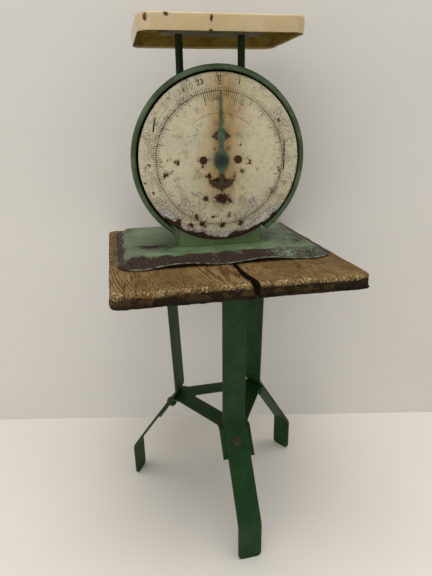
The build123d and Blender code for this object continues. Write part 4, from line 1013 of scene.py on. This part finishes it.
def make_pan():
    """Upturned pan with a soft top edge, a slightly wavy lower edge and chipped enamel."""
    half = (PAN_HIGH - PAN_LOW)[:2] / 2
    centre = (PAN_HIGH + PAN_LOW) / 2
    depth = PAN_HIGH[2] - PAN_LOW[2]
    sheet = 1.0
    edge = 3.0
    section = [(inset, depth) for inset in np.linspace(half[1] - 3, edge + 1, 24)]
    section += [(edge - a, depth - edge + b) for a, b in arc((0, 0), edge, 90, 0, 6)]
    section += [(0.0, level) for level in np.linspace(depth - edge, 0.6, 10)[1:]]
    section += [(0.15, 0.15), (0.5, 0.0), (0.85, 0.15), (sheet, 0.6)]
    outer = len(section)
    section += [(sheet, level) for level in np.linspace(0.6, depth - edge, 6)[1:]]
    section += [(edge - a, depth - edge + b) for a, b in arc((0, 0), edge - sheet, 0, 90, 4)[1:]]
    section += [(inset, depth - sheet) for inset in np.linspace(edge + 1, half[1] - 3, 12)]
    points, quads, inset = pressed_shell(half, PAN_CORNER, section, centre, per_side=60, per_corner=14)
    inside = np.repeat(np.arange(len(section)) >= outer, len(points) // len(section))
    points[:, 2] += PAN_LOW[2]
    low_edge = smooth(points[:, 2], PAN_LOW[2] + 8, PAN_LOW[2])
    push = 0.9 * fractal(points * PLAN, 40, 71, 3) * low_edge
    flat = points[:, :2] - centre[:2]
    points[:, :2] = centre[:2] + flat * (1 - push / np.maximum(np.abs(flat).max(axis=1), 20))[:, None]
    points[:, 2] += low_edge * 0.7 * fractal(points * PLAN, 34, 72, 3)
    top = smooth(inset, 4, 30) * (points[:, 2] > PAN_HIGH[2] - 2.5)
    points[:, 2] -= 0.35 * top * fractal(points * PLAN, 60, 73, 3)
    pan = build("pan", points, quads)
    fix_normals(pan)
    x, y, z = points[:, 0], points[:, 1], points[:, 2] - PAN_LOW[2]
    front = smooth(y, PAN_LOW[1] + 6, PAN_LOW[1] + 1)
    rust = front * (0.7 * blob(x, z, (-86, 13), (7, 10)) + 0.6 * blob(x, z, (-62, 16), (7, 5))
                    + 0.6 * blob(x, z, (-13, 0), (5, 5)) + 0.45 * blob(x, z, (-12, 14), (7, 7))
                    + 0.36 * blob(x, z, (-13, 8), (4, 11)))
    rim = smooth(z, 15, 18.5) * smooth(inset, 5, 1)
    rust += 0.3 * rim * smooth(fractal(points, 9, 74, 3), 0.5, 0.66)
    rust += 0.14 * smooth(z, 2.5, 0.5)
    mark(pan, "rust", rust)
    mark(pan, "inside", inside)
    finish_piece(pan, "carriage", "cream_enamel", pan_material(), "platform")


# ---------------- springs

# WIRE is the wire's radius.
WIRE = 1.0
COIL_TURNS = 27
SPRING_STEPS = 24
HOOK_STEPS = 14
WIRE_SIDES = 8


def make_spring(node):
    """Coiled wire with a half hook at each end, stretched between the stand and the carriage."""
    low, high = box_mm(node)
    centre = (low + high) / 2
    radius = (high[0] - low[0]) / 2 - WIRE
    bottom = low[2] + WIRE + radius
    top = high[2] - WIRE - radius
    hook = np.linspace(0, np.pi, HOOK_STEPS)
    path = [(0.0, -radius * math.cos(turn), bottom - radius * math.sin(turn)) for turn in hook[:-1]]
    for step in range(COIL_TURNS * SPRING_STEPS + 1):
        turn = 2 * math.pi * step / SPRING_STEPS
        level = bottom + (top - bottom) * step / (COIL_TURNS * SPRING_STEPS)
        path.append((-radius * math.sin(turn), radius * math.cos(turn), level))
    path += [(0.0, radius * math.cos(turn), top + radius * math.sin(turn)) for turn in hook[1:]]
    path = np.array(path) + (centre[0], centre[1], 0)
    ahead = np.gradient(path, axis=0)
    ahead /= np.linalg.norm(ahead, axis=1)[:, None]
    side = np.cross(ahead, (1.0, 0.35, 0.2))
    for step in range(1, len(side)):
        carried = side[step - 1] - ahead[step] * (side[step - 1] @ ahead[step])
        side[step] = carried / np.linalg.norm(carried)
    side[0] /= np.linalg.norm(side[0])
    other = np.cross(ahead, side)
    around = np.linspace(0, 2 * np.pi, WIRE_SIDES, endpoint=False)
    rings = [spot + WIRE * (np.outer(np.cos(around), u) + np.outer(np.sin(around), v))
             for spot, u, v in zip(path, side, other)]
    end = np.arange(WIRE_SIDES)
    quads = [*grid_quads(len(path), WIRE_SIDES, True), end[::-1], end + WIRE_SIDES * (len(path) - 1)]
    piece = build(node + "_coil", np.concatenate(rings), quads)
    fix_normals(piece)
    finish_piece(piece, None, "steel", STEEL, node)
    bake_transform(piece)


# ---------------- CAD nodes that stay

CAD_LOOKS = {
    "stand_paint": STAND_GREEN,
    "sage_paint": SAGE,
    "drum_paint": DRUM_GREEN,
    "pointer_paint": POINTER_GREEN,
    "rusty_steel": RUSTY,
    "steel": STEEL,
    "brass": BRASS,
}
OWN_LOOKS = {"rod_left": ROD_GREEN, "rod_right": ROD_GREEN, "neck": NECK_PAINT_AND_EDGE_SHADE, "pointer_nut": BOSS_GREEN,
             "pinion_shaft": BOSS_GREEN, "platform_bracket": OLIVE, "brace_bolts": BOLT_GREEN}
CRISP_EDGE = {"leg_front": 0.5, "leg_left": 0.5, "leg_right": 0.5, "leg_brace": 0.4, "neck": 0.5,
              "movement_frame": 0.3, "pointer": 0.2, "yoke": 0.3}


def dress_cad_nodes():
    """Materials for the CAD nodes that show, and softened edges on the flat ones."""
    for name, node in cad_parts.items():
        if node.hide_render:
            continue
        look = OWN_LOOKS.get(name) or CAD_LOOKS[node.data.materials[0].name]
        for slot in node.material_slots:
            slot.material = look
        if name in CRISP_EDGE:
            weld = node.modifiers.new("weld", "WELD")
            weld.merge_threshold = 1e-5
            bevel = node.modifiers.new("soften", "BEVEL")
            bevel.width = CRISP_EDGE[name] * MM
            bevel.segments = 2
            bevel.limit_method = "ANGLE"
            bevel.angle_limit = math.radians(40)
            shade = node.modifiers.new("shade", "WEIGHTED_NORMAL")
            shade.keep_sharp = True


# ---------------- studio

# The camera's numbers and the wall's distance from it are in metres, the floor and wall in millimetres.
CAMERA_PLACE = Vector((-0.13226, -0.64313, 0.54753))
CAMERA_PITCH = math.radians(18.793)
CAMERA_YAW = math.radians(11.449)
CAMERA_ROLL = math.radians(-1.043)
FOCAL_LENGTH = 30.465
WALL_DISTANCE = 0.828
FLOOR_HALF = 3000.0
WALL_HALF = 900.0
WALL_HEIGHT = 1500.0
LAMP_TONE = (1.0, 0.985, 0.95)


def make_camera():
    """Camera in front and to the left, looking slightly down."""
    forward = Vector((math.sin(CAMERA_YAW) * math.cos(CAMERA_PITCH),
                      math.cos(CAMERA_YAW) * math.cos(CAMERA_PITCH), -math.sin(CAMERA_PITCH)))
    level = Vector((math.cos(CAMERA_YAW), -math.sin(CAMERA_YAW), 0))
    upright = level.cross(forward)
    right = level * math.cos(CAMERA_ROLL) + upright * math.sin(CAMERA_ROLL)
    up = upright * math.cos(CAMERA_ROLL) - level * math.sin(CAMERA_ROLL)
    data = bpy.data.cameras.new("camera")
    data.lens = FOCAL_LENGTH
    data.sensor_width = 36.0
    camera = add_object("camera", data)
    turn = Matrix((right, up, -forward)).transposed()
    camera.matrix_world = Matrix.Translation(CAMERA_PLACE) @ turn.to_4x4()
    SCENE.camera = camera


def plain_material(name, tone, one_sided):
    """Matt studio surface; a one-sided one can't be seen from behind."""
    look = Surface(name)
    darker = [share * 0.985 for share in tone[:3]] + [1.0]
    material = look.done(look.mix(look.noise(160.0, 3, 0.5).step(0.3, 0.7), tone, darker), 0.75)
    if one_sided:
        facing = look.node("NewGeometry").outputs["Backfacing"]
        clear = look.node("BsdfTransparent").outputs[0]
        choose = look.node("MixShader")
        for socket, output in zip(choose.inputs, (facing, look.shader.outputs[0], clear)):
            look.links.new(output, socket)
        look.links.new(choose.outputs[0], look.nodes["Material Output"].inputs["Surface"])
    return material


def make_studio():
    """Pale floor, pale wall behind, soft light from above and in front."""
    half = FLOOR_HALF
    floor = build("floor", [(-half, -half, 0), (half, -half, 0), (half, half, 0), (-half, half, 0)],
                  [(0, 1, 2, 3)])
    floor.data.materials.append(plain_material("floor_look", rgb(238, 233, 226), False))
    ahead = np.array([math.sin(CAMERA_YAW), math.cos(CAMERA_YAW)])
    beside = np.array([math.cos(CAMERA_YAW), -math.sin(CAMERA_YAW)])
    foot = np.array(CAMERA_PLACE)[:2] / MM + ahead * WALL_DISTANCE / MM
    left = foot - beside * WALL_HALF
    right = foot + beside * WALL_HALF
    wall = build("wall", [(*left, 0), (*right, 0), (*right, WALL_HEIGHT), (*left, WALL_HEIGHT)],
                 [(0, 1, 2, 3)])
    wall.data.materials.append(plain_material("wall_look", rgb(226, 223, 218), True))
    area_light("overhead", (0.1, 0.05, 2.6), (0.0, 0.0, 0.3), size=1.9, power=45.0)
    area_light("front", (-1.3, -1.6, 0.9), (0.0, 0.0, 0.4), size=1.6, power=9.0)
    world = bpy.data.worlds.new("studio")
    world.use_nodes = True
    background = world.node_tree.nodes["Background"]
    background.inputs["Color"].default_value = (1.0, 0.99, 0.97, 1.0)
    background.inputs["Strength"].default_value = 0.48
    SCENE.world = world
    SCENE.view_settings.view_transform = "Standard"


def area_light(name, place, target, size, power):
    """Square soft light aimed at a point."""
    data = bpy.data.lights.new(name, "AREA")
    data.shape = "SQUARE"
    data.size = size
    data.energy = power
    data.color = LAMP_TONE
    light = add_object(name, data)
    light.location = place
    light.rotation_mode = "QUATERNION"
    light.rotation_quaternion = (Vector(target) - Vector(place)).to_track_quat("-Z", "Y")


# ---------------- the whole scene

make_board()
make_base()
make_dial()
make_marks()
make_pan()
for spring in ("spring_left", "spring_right"):
    make_spring(spring)
dress_cad_nodes()
make_camera()
make_studio()

bpy.context.view_layer.update()
